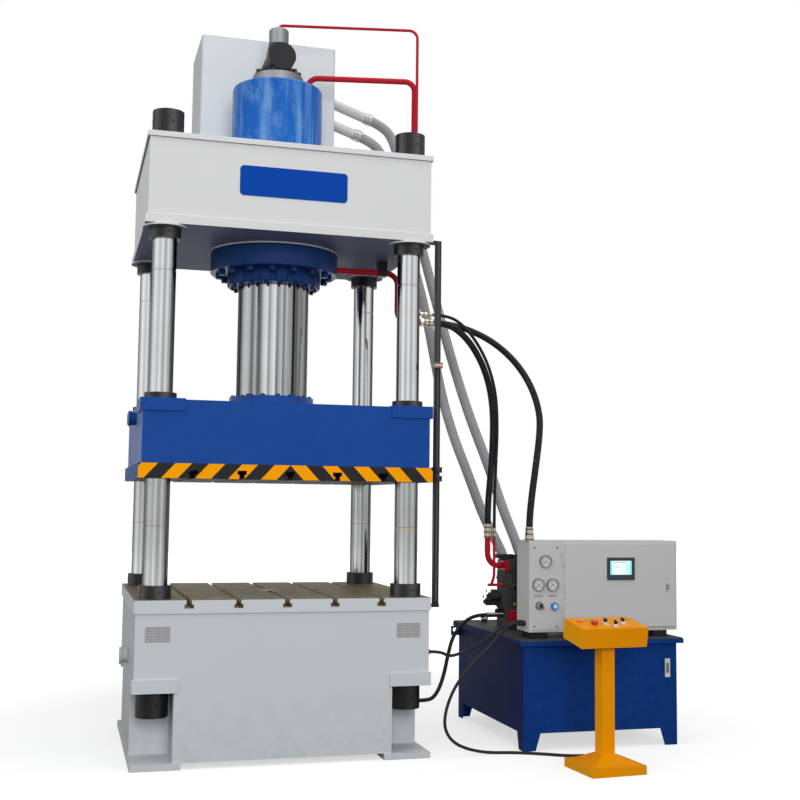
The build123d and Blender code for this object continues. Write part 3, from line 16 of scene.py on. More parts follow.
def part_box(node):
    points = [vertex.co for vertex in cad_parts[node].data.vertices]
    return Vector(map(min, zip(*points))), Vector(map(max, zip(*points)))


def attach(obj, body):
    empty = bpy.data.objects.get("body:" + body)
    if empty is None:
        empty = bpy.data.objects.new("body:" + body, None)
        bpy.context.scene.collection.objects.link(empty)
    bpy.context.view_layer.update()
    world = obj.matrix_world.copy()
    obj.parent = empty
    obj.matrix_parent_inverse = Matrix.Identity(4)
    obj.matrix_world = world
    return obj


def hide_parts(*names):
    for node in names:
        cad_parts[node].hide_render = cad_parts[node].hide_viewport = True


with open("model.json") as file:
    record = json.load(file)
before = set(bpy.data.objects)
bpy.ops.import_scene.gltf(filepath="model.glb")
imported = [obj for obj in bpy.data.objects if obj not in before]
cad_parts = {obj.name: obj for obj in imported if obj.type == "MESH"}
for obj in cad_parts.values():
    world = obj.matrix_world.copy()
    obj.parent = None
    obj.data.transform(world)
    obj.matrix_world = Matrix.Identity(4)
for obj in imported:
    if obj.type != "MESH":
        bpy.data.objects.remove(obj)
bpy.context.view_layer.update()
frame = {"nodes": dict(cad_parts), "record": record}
nodes = frame["nodes"]
record = frame["record"]
body_of = {node: body for body, members in record["behaviour"]["bodies"].items() for node in members}


# %% Two helpers that most pieces use
def put_in_scene(name, data):
    """A new object in the scene, at the origin."""
    thing = bpy.data.objects.new(name, data)
    bpy.context.scene.collection.objects.link(thing)
    return thing


def plain_mesh(piece):
    """What a piece looks like with its modifiers, as a mesh of its own."""
    return bpy.data.meshes.new_from_object(piece.evaluated_get(bpy.context.evaluated_depsgraph_get()))


# %% [markdown]
# ## Camera
# The photo was taken at eye height from the front left. Its place and direction were worked out from the
# press's straight edges, so the camera's matrix is written as its own right, up and backward directions.

# %% Place the camera
camera_data = bpy.data.cameras.new("eye_height_camera")
camera_data.sensor_width = 36.0
camera_data.lens = 53.4375
camera_data.clip_end = 60.0
camera = put_in_scene("eye_height_camera", camera_data)
camera_place = (-1.3564, -8.0593, 1.5937)
forward = Vector((0.2706, 0.9588, 0.0868)).normalized()
right = Vector((0.9621, -0.2726, 0.0115))
right = (right - forward * right.dot(forward)).normalized()
upward = right.cross(forward)
camera.matrix_world = Matrix((
    (right.x, upward.x, -forward.x, camera_place[0]),
    (right.y, upward.y, -forward.y, camera_place[1]),
    (right.z, upward.z, -forward.z, camera_place[2]),
    (0, 0, 0, 1)))
bpy.context.scene.camera = camera

# %% [markdown]
# ## Hoses and cables
# A hose hangs under its own weight, so each is one smooth spline whose points are placed one by one along the
# route: straight out of its fitting, down in a long bow and into the next fitting.


# %% A helper that lays one line
def lay_line(name, points_mm, radius_mm):
    """A round cord whose smooth spline is steered by listed points; with radius 0 it is a bare line.

    The radius sits on the points, because Blender adds a point's radius to the curve's box.
    """
    curve = bpy.data.curves.new(name, "CURVE")
    curve.dimensions = "3D"
    spline = curve.splines.new("NURBS")
    spline.points.add(len(points_mm) - 1)
    for point, place in zip(spline.points, points_mm):
        point.co = (place[0] / 1000, place[1] / 1000, place[2] / 1000, 1)
        point.radius = radius_mm / 1000 if radius_mm else 1.0
    spline.order_u = 3
    spline.use_endpoint_u = True
    spline.resolution_u = 12
    curve.bevel_depth = 1.0 if radius_mm else 0.0
    curve.bevel_resolution = 6
    curve.use_fill_caps = True
    return put_in_scene(name, curve)


def line_length(points_mm):
    """Length of the smooth spline, in metres, measured on a copy without thickness."""
    probe = lay_line("length_probe", points_mm, 0)
    mesh = bpy.data.meshes.new_from_object(probe)
    places = [vertex.co for vertex in mesh.vertices]
    total = sum((places[edge.vertices[0]] - places[edge.vertices[1]]).length for edge in mesh.edges)
    bpy.data.objects.remove(probe)
    return total


# %% The eight routes, in millimetres: each line's radius, then its points
routes = {
    "return_hose_upper": (38, [
        (866, 850, 4618), (986, 850, 4576.9), (1073, 850, 4484), (1142, 850, 4243), (1275, 850, 3790),
        (1470, 815, 3060), (1570, 730, 2625), (1665, 625, 2244), (1774, 515, 1887), (1860, 410, 1538),
        (1934, 335, 1308), (1990, 285, 1070), (2010, 270, 910), (2010, 270, 764)]),
    "return_hose_lower": (38, [
        (780, 850, 4479), (900, 850, 4439.2), (988, 850, 4347), (1062, 850, 4110), (1190, 850, 3690),
        (1350, 838, 3150), (1457, 760, 2482), (1539, 680, 2123), (1634, 590, 1825), (1726, 490, 1498),
        (1835, 400, 1253), (1882, 350, 1080), (1895, 330, 920), (1895, 330, 764)]),
    "ram_hose": (23, [
        (1127, -100, 2870), (1210, -100, 2870), (1312, -100, 2832), (1427, -100, 2720), (1530, -100, 2530),
        (1583, -100, 2290), (1581, -100, 1990), (1557, -100, 1720), (1545, -100, 1570), (1545, -100, 1456)]),
    "pullback_hose": (23, [
        (1156, 0, 2887), (1250, 0, 2887), (1400, -65, 2845), (1560, -155, 2750), (1690, -262, 2600),
        (1765, -372, 2420), (1790, -462, 2230), (1765, -525, 2080), (1712, -582, 1850), (1668, -622, 1660),
        (1643, -640, 1490), (1643, -640, 1384)]),
    "pilot_hose": (11, [
        (1095, -200, 2912), (1180, -200, 2912), (1286, -196, 2878), (1400, -189, 2772), (1511, -178, 2598),
        (1580, -162, 2385), (1599, -146, 2150), (1594, -133, 1890), (1592, -112, 1670), (1595, -100, 1540),
        (1595, -100, 1428)]),
    "ejector_hose": (13, [
        (1544, -80, 819), (1470, -80, 819), (1378, -84, 775), (1290, -105, 680), (1240, -150, 555),
        (1195, -210, 440), (1135, -290, 352), (1065, -375, 305), (1005, -420, 300), (945, -420, 300)]),
    "bed_cable": (10, [
        (1585, -560, 811), (1510, -560, 811), (1425, -560, 745), (1320, -560, 668), (1200, -568, 622),
        (1100, -605, 604), (1012, -690, 650), (940, -690, 650)]),
    "console_cable": (10, [
        (1585, -604, 811), (1520, -604, 811), (1450, -614, 745), (1370, -650, 672), (1270, -695, 608),
        (1165, -745, 527), (1066, -795, 422), (1010, -815, 300), (1000, -818, 190), (1060, -800, 100),
        (1175, -760, 42), (1320, -745, 10.5), (1480, -768, 10.5), (1640, -845, 10.5), (1772, -935, 11),
        (1834, -1008, 22), (1844.42, -1071.18, 36), (1849.13, -1130.99, 36)]),
}

# %% Lay the black lines; the two thick grey hoses follow with their ribs
lines = {}
ribbed_lines = ("return_hose_upper", "return_hose_lower")
for node, (radius_mm, points_mm) in routes.items():
    if node in ribbed_lines:
        continue
    line = lay_line(node + "_line", points_mm, radius_mm)
    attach(line, "press")
    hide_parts(node)
    line_length(points_mm)
    lines[node] = line
    print(node, "length m", round(line_length(points_mm), 3))

# %% [markdown]
# ## Shader maths that reads like maths
# A pattern is arithmetic on sockets. One small class lets `1 - mask` or `a * b + c` add the Math nodes, and one
# method adds any other node, so each finish and each repeat below is a few lines long.


# %% Sockets as numbers
class Link:
    """A socket that takes part in sums."""

    def __init__(self, tree, socket):
        self.tree = tree
        self.socket = socket

    def maths(self, operation, first, second=0.0):
        node = self.tree.nodes.new("ShaderNodeMath")
        node.operation = operation
        for place, value in zip(node.inputs, (first, second)):
            if isinstance(value, Link):
                self.tree.links.new(value.socket, place)
            else:
                place.default_value = value
        return Link(self.tree, node.outputs[0])

    def __add__(self, other):
        return self.maths("ADD", self, other)

    def __radd__(self, other):
        return self.maths("ADD", other, self)

    def __sub__(self, other):
        return self.maths("SUBTRACT", self, other)

    def __rsub__(self, other):
        return self.maths("SUBTRACT", other, self)

    def __mul__(self, other):
        return self.maths("MULTIPLY", self, other)

    def __rmul__(self, other):
        return self.maths("MULTIPLY", other, self)

    def __truediv__(self, other):
        return self.maths("DIVIDE", self, other)

    def __gt__(self, other):
        return self.maths("GREATER_THAN", self, other)

    def __lt__(self, other):
        return self.maths("LESS_THAN", self, other)

    def __abs__(self):
        return self.maths("ABSOLUTE", self)

    def bent(self, operation):
        """One-number operations: SINE, FRACT, SIGN and so on."""
        return self.maths(operation, self)

    def clipped(self):
        return self.maths("MINIMUM", self.maths("MAXIMUM", self, 0.0), 1.0)


# %% Adding nodes in one line
class Wiring:
    """A node tree with one method that adds a node."""

    def __init__(self, tree):
        self.tree = tree

    def node(self, kind, settings=(), values=(), out=0):
        """Add a node: its settings first, then the values or links of its sockets."""
        node = self.tree.nodes.new(kind)
        for name, value in dict(settings).items():
            if name == "stops":
                ramp = node.color_ramp
                while len(ramp.elements) < len(value):
                    ramp.elements.new(0.5)
                for element, (place, colour) in zip(ramp.elements, value):
                    element.position = place
                    element.color = (*colour, 1)
            else:
                setattr(node, name, value)
        for name, value in dict(values).items():
            socket = node.inputs[name]
            for part in value if isinstance(value, list) else [value]:
                if isinstance(part, Link):
                    self.tree.links.new(part.socket, socket)
                else:
                    socket.default_value = part
        return Link(self.tree, node.outputs[out])


# %% A finish is a material with a few helpers
class Finish(Wiring):
    """A material built up from Principled and the nodes that feed it."""

    def __init__(self, name, colour, roughness=0.5, metallic=0.0, coat=0.0, specular=None):
        self.material = bpy.data.materials.new(name)
        self.material.use_nodes = True
        super().__init__(self.material.node_tree)
        self.shader = self.tree.nodes["Principled BSDF"]
        if specular is None:
            specular = 0.5 if metallic > 0.6 else 0.10
        for socket, value in (
                ("Base Color", (*colour, 1)), ("Roughness", roughness), ("Metallic", metallic),
                ("Coat Weight", coat), ("Coat Roughness", 0.12), ("Specular IOR Level", specular)):
            self.shader.inputs[socket].default_value = value

    def axes(self, vector=None):
        """The three parts of a place, each a number."""
        if vector is None:
            vector = self.node("ShaderNodeTexCoord", out="Object")
        parts = self.tree.nodes.new("ShaderNodeSeparateXYZ")
        self.tree.links.new(vector.socket, parts.inputs[0])
        return [Link(self.tree, out) for out in parts.outputs]

    def facing(self):
        """The three parts of the surface's own direction."""
        return self.axes(self.node("ShaderNodeNewGeometry", out="Normal"))

    def noise(self, scale, detail=3.0, stretch=(1, 1, 1), rough=0.5):
        place = self.node("ShaderNodeTexCoord", out="Object")
        moved = self.node("ShaderNodeMapping", values={"Vector": place, "Scale": stretch})
        return self.node("ShaderNodeTexNoise", values={
            "Vector": moved, "Scale": scale, "Detail": detail, "Roughness": rough})

    def mixed(self, factor, first, second):
        """Blend two colours. The Mix node's sockets 0, 6, 7 and output 2 are its factor, A, B and colour."""
        colours = [value if isinstance(value, Link) else (*value, 1) for value in (first, second)]
        return self.node("ShaderNodeMix", {"data_type": "RGBA"}, {0: factor, 6: colours[0], 7: colours[1]}, 2)

    def feed(self, name, link):
        self.tree.links.new(link.socket, self.shader.inputs[name])

    def bump(self, height, strength=0.2, distance=0.001):
        self.feed("Normal", self.node("ShaderNodeBump", values={
            "Height": height, "Strength": strength, "Distance": distance}))


def shade(colour, factor):
    """A colour made lighter or darker."""
    return tuple(min(1.0, c * factor) for c in colour)


# %% [markdown]
# ## Paints
# Sprayed machine paint is almost even: a faint orange-peel ripple, a slow drift in colour, and dirt that
# gathers near the floor. Thin noise does all three. A face that looks down may take painted shade, and one that
# looks left painted light on some parts and painted shade on others, as each side of the press has in the
# photo.


# %% Sprayed paint
grime_height = 0.5      # metres above the floor at which the dirt ends
straight_on = 0.7       # a face counts as looking along an axis when that part of its direction is larger


def sprayed(name, colour, roughness=0.34, drift=0.05, peel=0.10, coat=0.35, grime=0.0,
            underside_shade=None, feet=None, left=None):
    """Orange peel, drift, grime, painted shade below, painted light and shade at the left, and black feet up to
    a height.
    """
    finish = Finish(name, colour, roughness, 0.0, coat, 0.04)
    cloud = finish.noise(1.4, 4.0)
    tint = finish.mixed(cloud, shade(colour, 1 - drift), shade(colour, 1 + drift))
    mottle = ((finish.noise(26.0, 6.0, rough=0.7) - 0.42) * 4).clipped()
    tint = finish.mixed(mottle * 2.5 * drift, tint, tuple(c * 0.94 + 0.02 for c in colour))
    if grime:
        low = (1 - finish.axes()[2] / grime_height).clipped()
        speck = (finish.noise(9.0, 6.0, rough=0.7) - 0.42) * 3
        tint = finish.mixed((low * speck.clipped() * grime).clipped(), tint, shade(colour, 0.55))
    # faces that look down take painted shade
    if underside_shade:
        tint = finish.mixed(finish.facing()[2] < -straight_on, tint, underside_shade)
    # faces that look left take the given tone: painted light on some paints, painted shade on others
    if left:
        tint = finish.mixed(finish.facing()[0] < -straight_on, tint, left)
    if feet:
        tint = finish.mixed(finish.axes()[2] < feet, tint, (0.02, 0.02, 0.022))
    finish.feed("Base Color", tint)
    finish.feed("Roughness", finish.noise(5.0, 3.0) * 0.12 + (roughness - 0.06))
    finish.bump(finish.noise(160.0, 2.0), peel, 0.0004)
    return finish.material


# the crown's underside takes painted shade, and its left side painted light
crown_white = sprayed("off_white_crown_paint", (0.62, 0.62, 0.62), 0.5, 0.015, 0.06, 0.0,
                      underside_shade=(0.20, 0.21, 0.285), left=(0.76, 0.765, 0.77))
# the bed's left side takes painted shade
off_white = sprayed("off_white_bed_paint", (0.52, 0.55, 0.57), 0.5, 0.02, 0.06, 0.0, 0.35,
                    left=(0.43, 0.465, 0.505))
tank_grey = sprayed("light_grey_tank_paint", (0.59, 0.62, 0.64), 0.5, 0.02, 0.10, 0.0)
pipe_grey = sprayed("light_grey_pipe_paint", (0.58, 0.585, 0.60), 0.4, 0.03, 0.10, 0.1)
crosshead_blue = sprayed("crosshead_blue_paint", (0.0110, 0.061, 0.275), 0.42, 0.09, 0.14, 0.02)
flange_blue = sprayed("dark_flange_blue", (0.009, 0.035, 0.135), 0.34, 0.08, 0.10, 0.05)
# the tank's left side takes painted shade
oil_tank_blue = sprayed("deep_tank_blue", (0.0040, 0.034, 0.178), 0.55, 0.10, 0.12, 0.0, 0.25,
                        left=(0.0015, 0.011, 0.085))
pipe_red = sprayed("pressure_pipe_red", (0.42, 0.010, 0.022), 0.30, 0.06, 0.06, 0.12)
# the console's left side takes painted light
console_orange = sprayed("console_orange_paint", (0.74, 0.265, 0.0010), 0.45, 0.04, 0.06, 0.0, 0.10,
                         left=(0.95, 0.39, 0.0030))
# the cabinet's left side takes painted light
cabinet_grey = sprayed("light_cabinet_grey", (0.47, 0.475, 0.47), 0.48, 0.015, 0.14, 0.02, feet=0.7565,
                       left=(0.64, 0.65, 0.64))
lid_dark = sprayed("dark_lid_paint", (0.050, 0.054, 0.062), 0.6, 0.08, 0.10, 0.0)
motor_blue = sprayed("motor_dark_paint", (0.02, 0.05, 0.10), 0.4, 0.06)
print("paints", len(bpy.data.materials))

# %% [markdown]
# ## Bare metal
# The table is ground steel under a film of oil, the columns and the ram are hard chrome, the nuts and bolts are
# blackened, and the small hose fittings are zinc plated.

# %% Machined table top with an oil film, painted round its sides, with painted light inside its slots
rim_x, rim_y, rim_z = 0.9235, 0.7595, 0.9985        # just inside the table's sides and under its top, in metres
table_steel = Finish("oiled_table_steel", (0.20, 0.18, 0.12), 0.4, specular=0.03)
patch = (table_steel.noise(2.6, 5.0, (1, 1.6, 1), 0.6) - 0.42) * 4
stain = (table_steel.noise(7.0, 6.0, rough=0.7) - 0.5) * 5
oil_and_slot_light = table_steel.mixed(patch.clipped(), (0.16, 0.145, 0.095), (0.22, 0.155, 0.045))
oil_and_slot_light = table_steel.mixed(stain.clipped() * 0.7, oil_and_slot_light, (0.05, 0.04, 0.02))
x, y, z = table_steel.axes()
# below the top, inside the slots, the steel is painted lighter: painted light against the slots' shade
oil_and_slot_light = table_steel.mixed(z < rim_z, oil_and_slot_light, (0.40, 0.34, 0.20))
outside = ((abs(x) > rim_x) + (abs(y) > rim_y)).clipped() * (z < rim_z)
table_steel.feed("Base Color", table_steel.mixed(outside, oil_and_slot_light, (0.53, 0.56, 0.58)))
table_steel.feed("Metallic", (1 - outside) * 0.2)
table_steel.feed("Roughness", table_steel.noise(11.0, 4.0) * 0.35 + 0.34)
table_steel.bump(table_steel.noise(30.0, 3.0, (40, 1, 1)), 0.12, 0.0005)

# %% [markdown]
# A polished bar shows its surroundings as upright bands, squeezed towards its edges. Here that reflection is
# painted: the angle round each bar picks a tone from a ramp. All four columns share one ramp, turned so that
# its middle faces the camera, with a repeat of it behind. Fine dark streaks and bright glints are painted
# reflection too, and towards the table the bars turn darker, in patches, as painted reflection of the darker
# floor. The columns wear a faint seam, yellowish on the front right one, and the foot of the ram is painted.

# %% Hard chrome in upright bands of painted reflection
# each pair is a place across the bar, from 0 to 1, and the tone there
column_tones = (
    (0, .10), (.08, .24), (.16, .50), (.24, .80), (.32, .84), (.38, .58), (.44, .52), (.50, .74), (.56, .70),
    (.61, .46), (.67, .42), (.73, .70), (.80, .66), (.86, .44), (.91, .16), (.95, .06), (1, .08))
ram_tones = (
    (0, .16), (.04, .06), (.09, .14), (.14, .50), (.19, .62), (.24, .26), (.27, .10), (.30, .38), (.35, .48),
    (.385, .12), (.40, .34), (.44, .66), (.48, .80), (.50, .26), (.52, .40), (.55, .66), (.58, .84), (.60, .34),
    (.62, .10), (.64, .36), (.68, .52), (.70, .16), (.74, .44), (.79, .20), (.83, .06), (.88, .12), (.93, .34),
    (1, .16))
column_centre = (0.795, 0.612)      # of the front right column; the other three mirror it, in metres
towards_camera = 0.544              # the share of a turn that brings the ramp's middle to the camera


def painted_reflection_bands(finish, tones, centre=(0, 0)):
    """Tones across a round bar, from one edge of its front half to the other, and again behind: a painted
    reflection.
    """
    x, y, _ = finish.axes()
    x, y = x - x.bent("SIGN") * centre[0], y - y.bent("SIGN") * centre[1]
    angle = finish.node("ShaderNodeMath", {"operation": "ARCTAN2"}, {0: y, 1: x})
    turn = ((angle / (2 * math.pi) + towards_camera) * 2).bent("FRACT")
    across = 0.5 - (turn * math.pi).bent("COSINE") * 0.5
    stops = [(place, (0.97 * tone, 0.985 * tone, tone)) for place, tone in tones]
    return finish.node("ShaderNodeValToRGB", {"stops": stops}, {"Fac": across})


def chromed(name, tones, centre=(0, 0), painted_to=None):
    """Polished chrome whose painted reflection bands follow the angle round each bar."""
    finish = Finish(name, (0.62, 0.63, 0.65), 0.1, 1.0)
    finish.shader.inputs["Specular Tint"].default_value = (0.40, 0.41, 0.43, 1)
    bands = painted_reflection_bands(finish, tones, centre)
    x, y, z = finish.axes()
    # painted reflection: the bars turn darker towards the table, where the darker floor shows in them, and in
    # faint patches
    darker_below, fades_over = 2.1, 0.37
    darker_reflection = ((darker_below - z) / fades_over).clipped() * 0.42
    darker_reflection = darker_reflection + (finish.noise(2.2, 4.0, (1, 1, 3)) - 0.4).clipped() * 0.25
    tint = finish.mixed(darker_reflection.clipped(), bands, (0.10, 0.10, 0.09))
    # fine dark streaks and bright glints along the bar, both painted reflection
    fine = ((finish.noise(70.0, 2.0, (1, 1, 0.004), 0.6) - 0.5) * 4).clipped()
    glint = ((finish.noise(55.0, 2.0, (1.2, 1.1, 0.005), 0.6) - 0.52) * 5).clipped()
    tint = finish.mixed(glint * 0.25, finish.mixed(fine * 0.4, tint, (0.10, 0.095, 0.09)), (0.90, 0.90, 0.92))
    tint = finish.mixed(abs(finish.facing()[2]) > straight_on, tint, (0.34, 0.34, 0.35))
    smear = finish.noise(6.0, 3.0) * 0.06 + 0.07
    if centre[0]:
        seam_height = 1.441
        fading = ((z - (seam_height - 0.046)) / 0.045).clipped() * (z < seam_height)
        tint = finish.mixed(fading * (x > 0) * (y < 0) * finish.noise(20.0, 3.0), tint, (0.40, 0.32, 0.13))
        tint = finish.mixed((abs(z - seam_height) < 0.002) * 0.7, tint, (0.12, 0.11, 0.09))
    if painted_to:
        painted = z < painted_to
        tint = finish.mixed(painted, tint, (0.0123, 0.063, 0.279))
        finish.feed("Metallic", 1 - painted)
        smear = smear + painted * 0.25
    finish.feed("Base Color", tint)
    finish.feed("Roughness", smear)
    finish.bump(finish.noise(40.0, 2.0, (1, 1, 30)), 0.01, 0.0003)
    return finish.material


column_chrome = chromed("column_hard_chrome", column_tones, column_centre)
ram_chrome = chromed("ram_hard_chrome", ram_tones, painted_to=2.3005)


# %% Other metals
def metal(name, colour, roughness, grain=60.0, strength=0.08, metallic=1.0):
    """Plain metal with a slight unevenness."""
    finish = Finish(name, colour, roughness, metallic)
    finish.feed("Base Color", finish.mixed(finish.noise(12.0), shade(colour, 0.88), shade(colour, 1.1)))
    finish.feed("Roughness", finish.noise(20.0, 4.0) * 0.15 + (roughness - 0.07))
    finish.bump(finish.noise(grain, 4.0), strength, 0.0006)
    return finish.material


nut_tones = (
    (0, .01), (.10, .02), (.20, .10), (.31, .05), (.42, .02), (.55, .03), (.66, .07), (.76, .10), (.88, .03),
    (1, .01))


def blackened(name, centre):
    """Blackened nuts: soft upright bands of painted reflection, duller ends, and darker below table height, as
    painted shade.
    """
    finish = Finish(name, (0.04, 0.04, 0.045), 0.36)
    darker_below = 0.8
    # soft upright bands of painted reflection
    tint = painted_reflection_bands(finish, nut_tones, centre)
    tint = finish.mixed(abs(finish.facing()[2]) > straight_on, tint, (0.035, 0.035, 0.038))
    tint = finish.mixed(finish.noise(40.0, 4.0) * 0.35, tint, (0.03, 0.028, 0.026))
    # below table height the nuts are darker: painted shade
    finish.feed("Base Color", finish.mixed((finish.axes()[2] < darker_below) * 0.7, tint, (0.006, 0.006, 0.007)))
    finish.bump(finish.noise(90.0, 4.0), 0.08, 0.0006)
    return finish.material


black_steel = blackened("blackened_nut_steel", column_centre)
bolt_steel = metal("blackened_bolt_steel", (0.045, 0.045, 0.05), 0.3, 120.0, 0.06, 0.0)
ground_steel = metal("ground_inner_steel", (0.55, 0.55, 0.57), 0.25)
oiled_steel = metal("oiled_rod_steel", (0.14, 0.13, 0.10), 0.45)
gauge_rim = metal("gauge_rim_steel", (0.30, 0.29, 0.29), 0.28)
zinc = metal("zinc_plated_steel", (0.66, 0.65, 0.58), 0.32)
latch_silver = metal("latch_bright_metal", (0.36, 0.36, 0.36), 0.30)
black_paint = metal("black_pipe_paint", (0.03, 0.03, 0.032), 0.36, 140.0, 0.12, 0.0)
knob_aluminium = metal("turned_knob_aluminium", (0.46, 0.45, 0.45), 0.25)
dull_steel = metal("dull_pipe_steel", (0.16, 0.15, 0.14), 0.4)
collar_metal = metal("pale_collar_metal", (0.78, 0.66, 0.60), 0.3)

# %% Hose fittings: turned bands along each, by X where they lie at the crown and by Z where they stand
fitting_zinc = Finish("zinc_hose_fitting", (0.42, 0.39, 0.33), 0.3, 1.0)
x, _, z = fitting_zinc.axes()
lies_above, band_pitch = 2.5, 0.034
lying = z > lies_above
turned_band = ((x * lying + z * (1 - lying)) / band_pitch).bent("FRACT") < 0.32
fitting_zinc.feed("Base Color", fitting_zinc.mixed(turned_band, (0.44, 0.41, 0.35), (0.15, 0.11, 0.06)))
fitting_zinc.feed("Roughness", fitting_zinc.noise(30.0, 3.0) * 0.2 + 0.2)
fitting_zinc.bump(turned_band, 0.3, 0.001)


# %% Plastics and rubber
def moulded(name, colour, roughness=0.45, grain=220.0, strength=0.1, coat=0.0):
    """Moulded plastic or rubber with a fine grain."""
    finish = Finish(name, colour, roughness, 0.0, coat)
    finish.feed("Base Color", finish.mixed(finish.noise(6.0), shade(colour, 0.86), shade(colour, 1.12)))
    finish.feed("Roughness", finish.noise(30.0, 3.0) * 0.14 + (roughness - 0.07))
    finish.bump(finish.noise(grain, 2.0), strength, 0.0004)
    return finish.material


black_plastic = moulded("black_moulded_plastic", (0.022, 0.022, 0.024))
cable_sheath = moulded("black_cable_sheath", (0.022, 0.022, 0.024), 0.45, 300.0, 0.1)
stop_red = moulded("stop_button_red", (0.42, 0.012, 0.03), 0.3, 200.0, 0.05, 0.5)
button_red = moulded("start_button_red", (0.62, 0.05, 0.02), 0.3, 200.0, 0.05, 0.5)
knob_blue_plastic = moulded("blue_knob_plastic", (0.03, 0.22, 0.55), 0.35)
screen_frame = moulded("screen_frame_plastic", (0.038, 0.047, 0.061), 0.4)
selector_black = moulded("selector_black_plastic", (0.012, 0.012, 0.014), 0.35, 200.0, 0.05, 0.3)
label_green = moulded("label_green", (0.10, 0.28, 0.06), 0.4)
label_grey = moulded("label_grey", (0.24, 0.24, 0.25), 0.4)
white_enamel = moulded("dial_white_enamel", (0.56, 0.55, 0.56), 0.4, 200.0, 0.03)
cap_yellow = moulded("yellow_green_cap", (0.30, 0.38, 0.03), 0.4)
lens_orange = moulded("start_ring_orange", (0.70, 0.09, 0.01), 0.3, 200.0, 0.05, 0.2)

# %% Two hose covers: black rubber with small painted glints, and grey with pale streaks along it
black_hose = Finish("black_hose_rubber", (0.011, 0.011, 0.012), 0.36)
# small bright specks on the black rubber: painted glints
glints = ((black_hose.noise(70.0, 3.0, rough=0.6) - 0.63) * 20).clipped() * (black_hose.noise(3.0, 2.0) - 0.3)
black_hose.feed("Base Color", black_hose.mixed(glints.clipped(), (0.014, 0.014, 0.015), (0.42, 0.42, 0.42)))
black_hose.bump(black_hose.noise(420.0, 2.0), 0.3, 0.0004)
grey_hose = Finish("grey_hose_cover", (0.30, 0.30, 0.31), 0.4)
streak = grey_hose.node("ShaderNodeAttribute", {"attribute_name": "streak"}, out="Fac")
worn = grey_hose.mixed(grey_hose.noise(8.0, 4.0), (0.25, 0.25, 0.25), (0.34, 0.34, 0.35))
grey_hose.feed("Base Color", grey_hose.mixed((streak - 0.35) * 1.2, worn, (0.48, 0.48, 0.50)))
grey_hose.bump(grey_hose.noise(60.0, 3.0), 0.2, 0.0005)

# %% [markdown]
# ## One piece in two paints
# The bare plates, the clamps, the valve block and the rail each carry two colours. A mask made from the
# surface's own place switches between them, so no piece needs cutting.

# %% Crown plate in blue, bed plates in bare grey with faint rules
plate_blue = (0.004, 0.054, 0.332)
plate_finish = Finish("bare_plates", plate_blue, 0.5, specular=0.04)
x, _, z = plate_finish.axes()
rule_pitch, dash_pitch, on_the_crown = 0.016, 0.05, 3.0
rules = ((z / rule_pitch).bent("FRACT") < 0.35) * ((x / dash_pitch).bent("FRACT") < 0.85)
bed_plate = plate_finish.mixed(rules, (0.37, 0.355, 0.36), (0.26, 0.255, 0.265))
plate_finish.feed("Base Color", plate_finish.mixed(z > on_the_crown, bed_plate, plate_blue))
plate_finish.bump(plate_finish.noise(120.0, 2.0), 0.04, 0.0003)

# %% Clamps in bright steel at the grey hoses, in black at the red pipe
clamp_black = (0.03, 0.03, 0.03)
clamp_finish = Finish("clamp_metal", clamp_black, 0.35)
x, _, z = clamp_finish.axes()
above_the_crown, ridge_pitch = 3.6, 0.011
bright = z > above_the_crown
ridge = (x / ridge_pitch).bent("FRACT") > 0.4
banded = clamp_finish.mixed(ridge, (0.12, 0.12, 0.13), (0.62, 0.62, 0.64))
clamp_finish.feed("Base Color", clamp_finish.mixed(bright, clamp_black, banded))
clamp_finish.feed("Metallic", bright * 0.8)
clamp_finish.bump(ridge, 0.3, 0.002)

# %% Valve block: dark iron, with a red cover
block_finish = Finish("valve_block_iron", (0.06, 0.06, 0.065), 0.55, specular=0.05)
_, y, z = block_finish.axes()
cover_back, cover_top = -0.1105, 0.90
low_cover = (y < cover_back) * (z < cover_top)
block_tint = block_finish.mixed(block_finish.noise(14.0, 4.0), (0.030, 0.028, 0.028), (0.085, 0.078, 0.074))
block_finish.feed("Base Color", block_finish.mixed(low_cover, block_tint, (0.42, 0.012, 0.022)))
block_finish.bump(block_finish.noise(140.0, 3.0), 0.2, 0.0006)

# %% Rail with a paler groove down the middle of two sides, and a copper clamp round it with a painted highlight across its middle
rail_finish = Finish("limit_rail_profile", (0.045, 0.045, 0.05), 0.38)
clamp_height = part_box("limit_rail")[1][2] - 0.832
rail_x, rail_y, groove_half, groove_foot = 0.986, -0.65, 0.0045, 0.97
x, y, z = rail_finish.axes()
rail_tone = rail_finish.mixed(z > clamp_height, (0.018, 0.019, 0.017), (0.036, 0.036, 0.039))
front_groove, side_groove = (abs(across) < groove_half for across in (x - rail_x, y - rail_y))
grooves = ((front_groove + side_groove) * (z > groove_foot)).clipped()
grooved = rail_finish.mixed(grooves, rail_tone, (0.08, 0.08, 0.09))
from_clamp = abs(z - clamp_height)
# a 12 mm band across the clamp's middle is a painted highlight on the copper
clamp_copper_and_highlight = rail_finish.mixed(from_clamp < 0.006, (0.26, 0.13, 0.085), (0.60, 0.52, 0.47))
rail_finish.feed("Base Color", rail_finish.mixed(from_clamp < 0.0185, grooved, clamp_copper_and_highlight))
rail_finish.bump(rail_finish.noise(150.0, 2.0), 0.06, 0.0004)

# %% [markdown]
# ## Hazard stripes
# The front and back edges of the crosshead's lower plate carry slanting orange and black bands that meet in an
# arrow at the middle. Distance from the middle plus height gives the slant; its fraction gives the band.

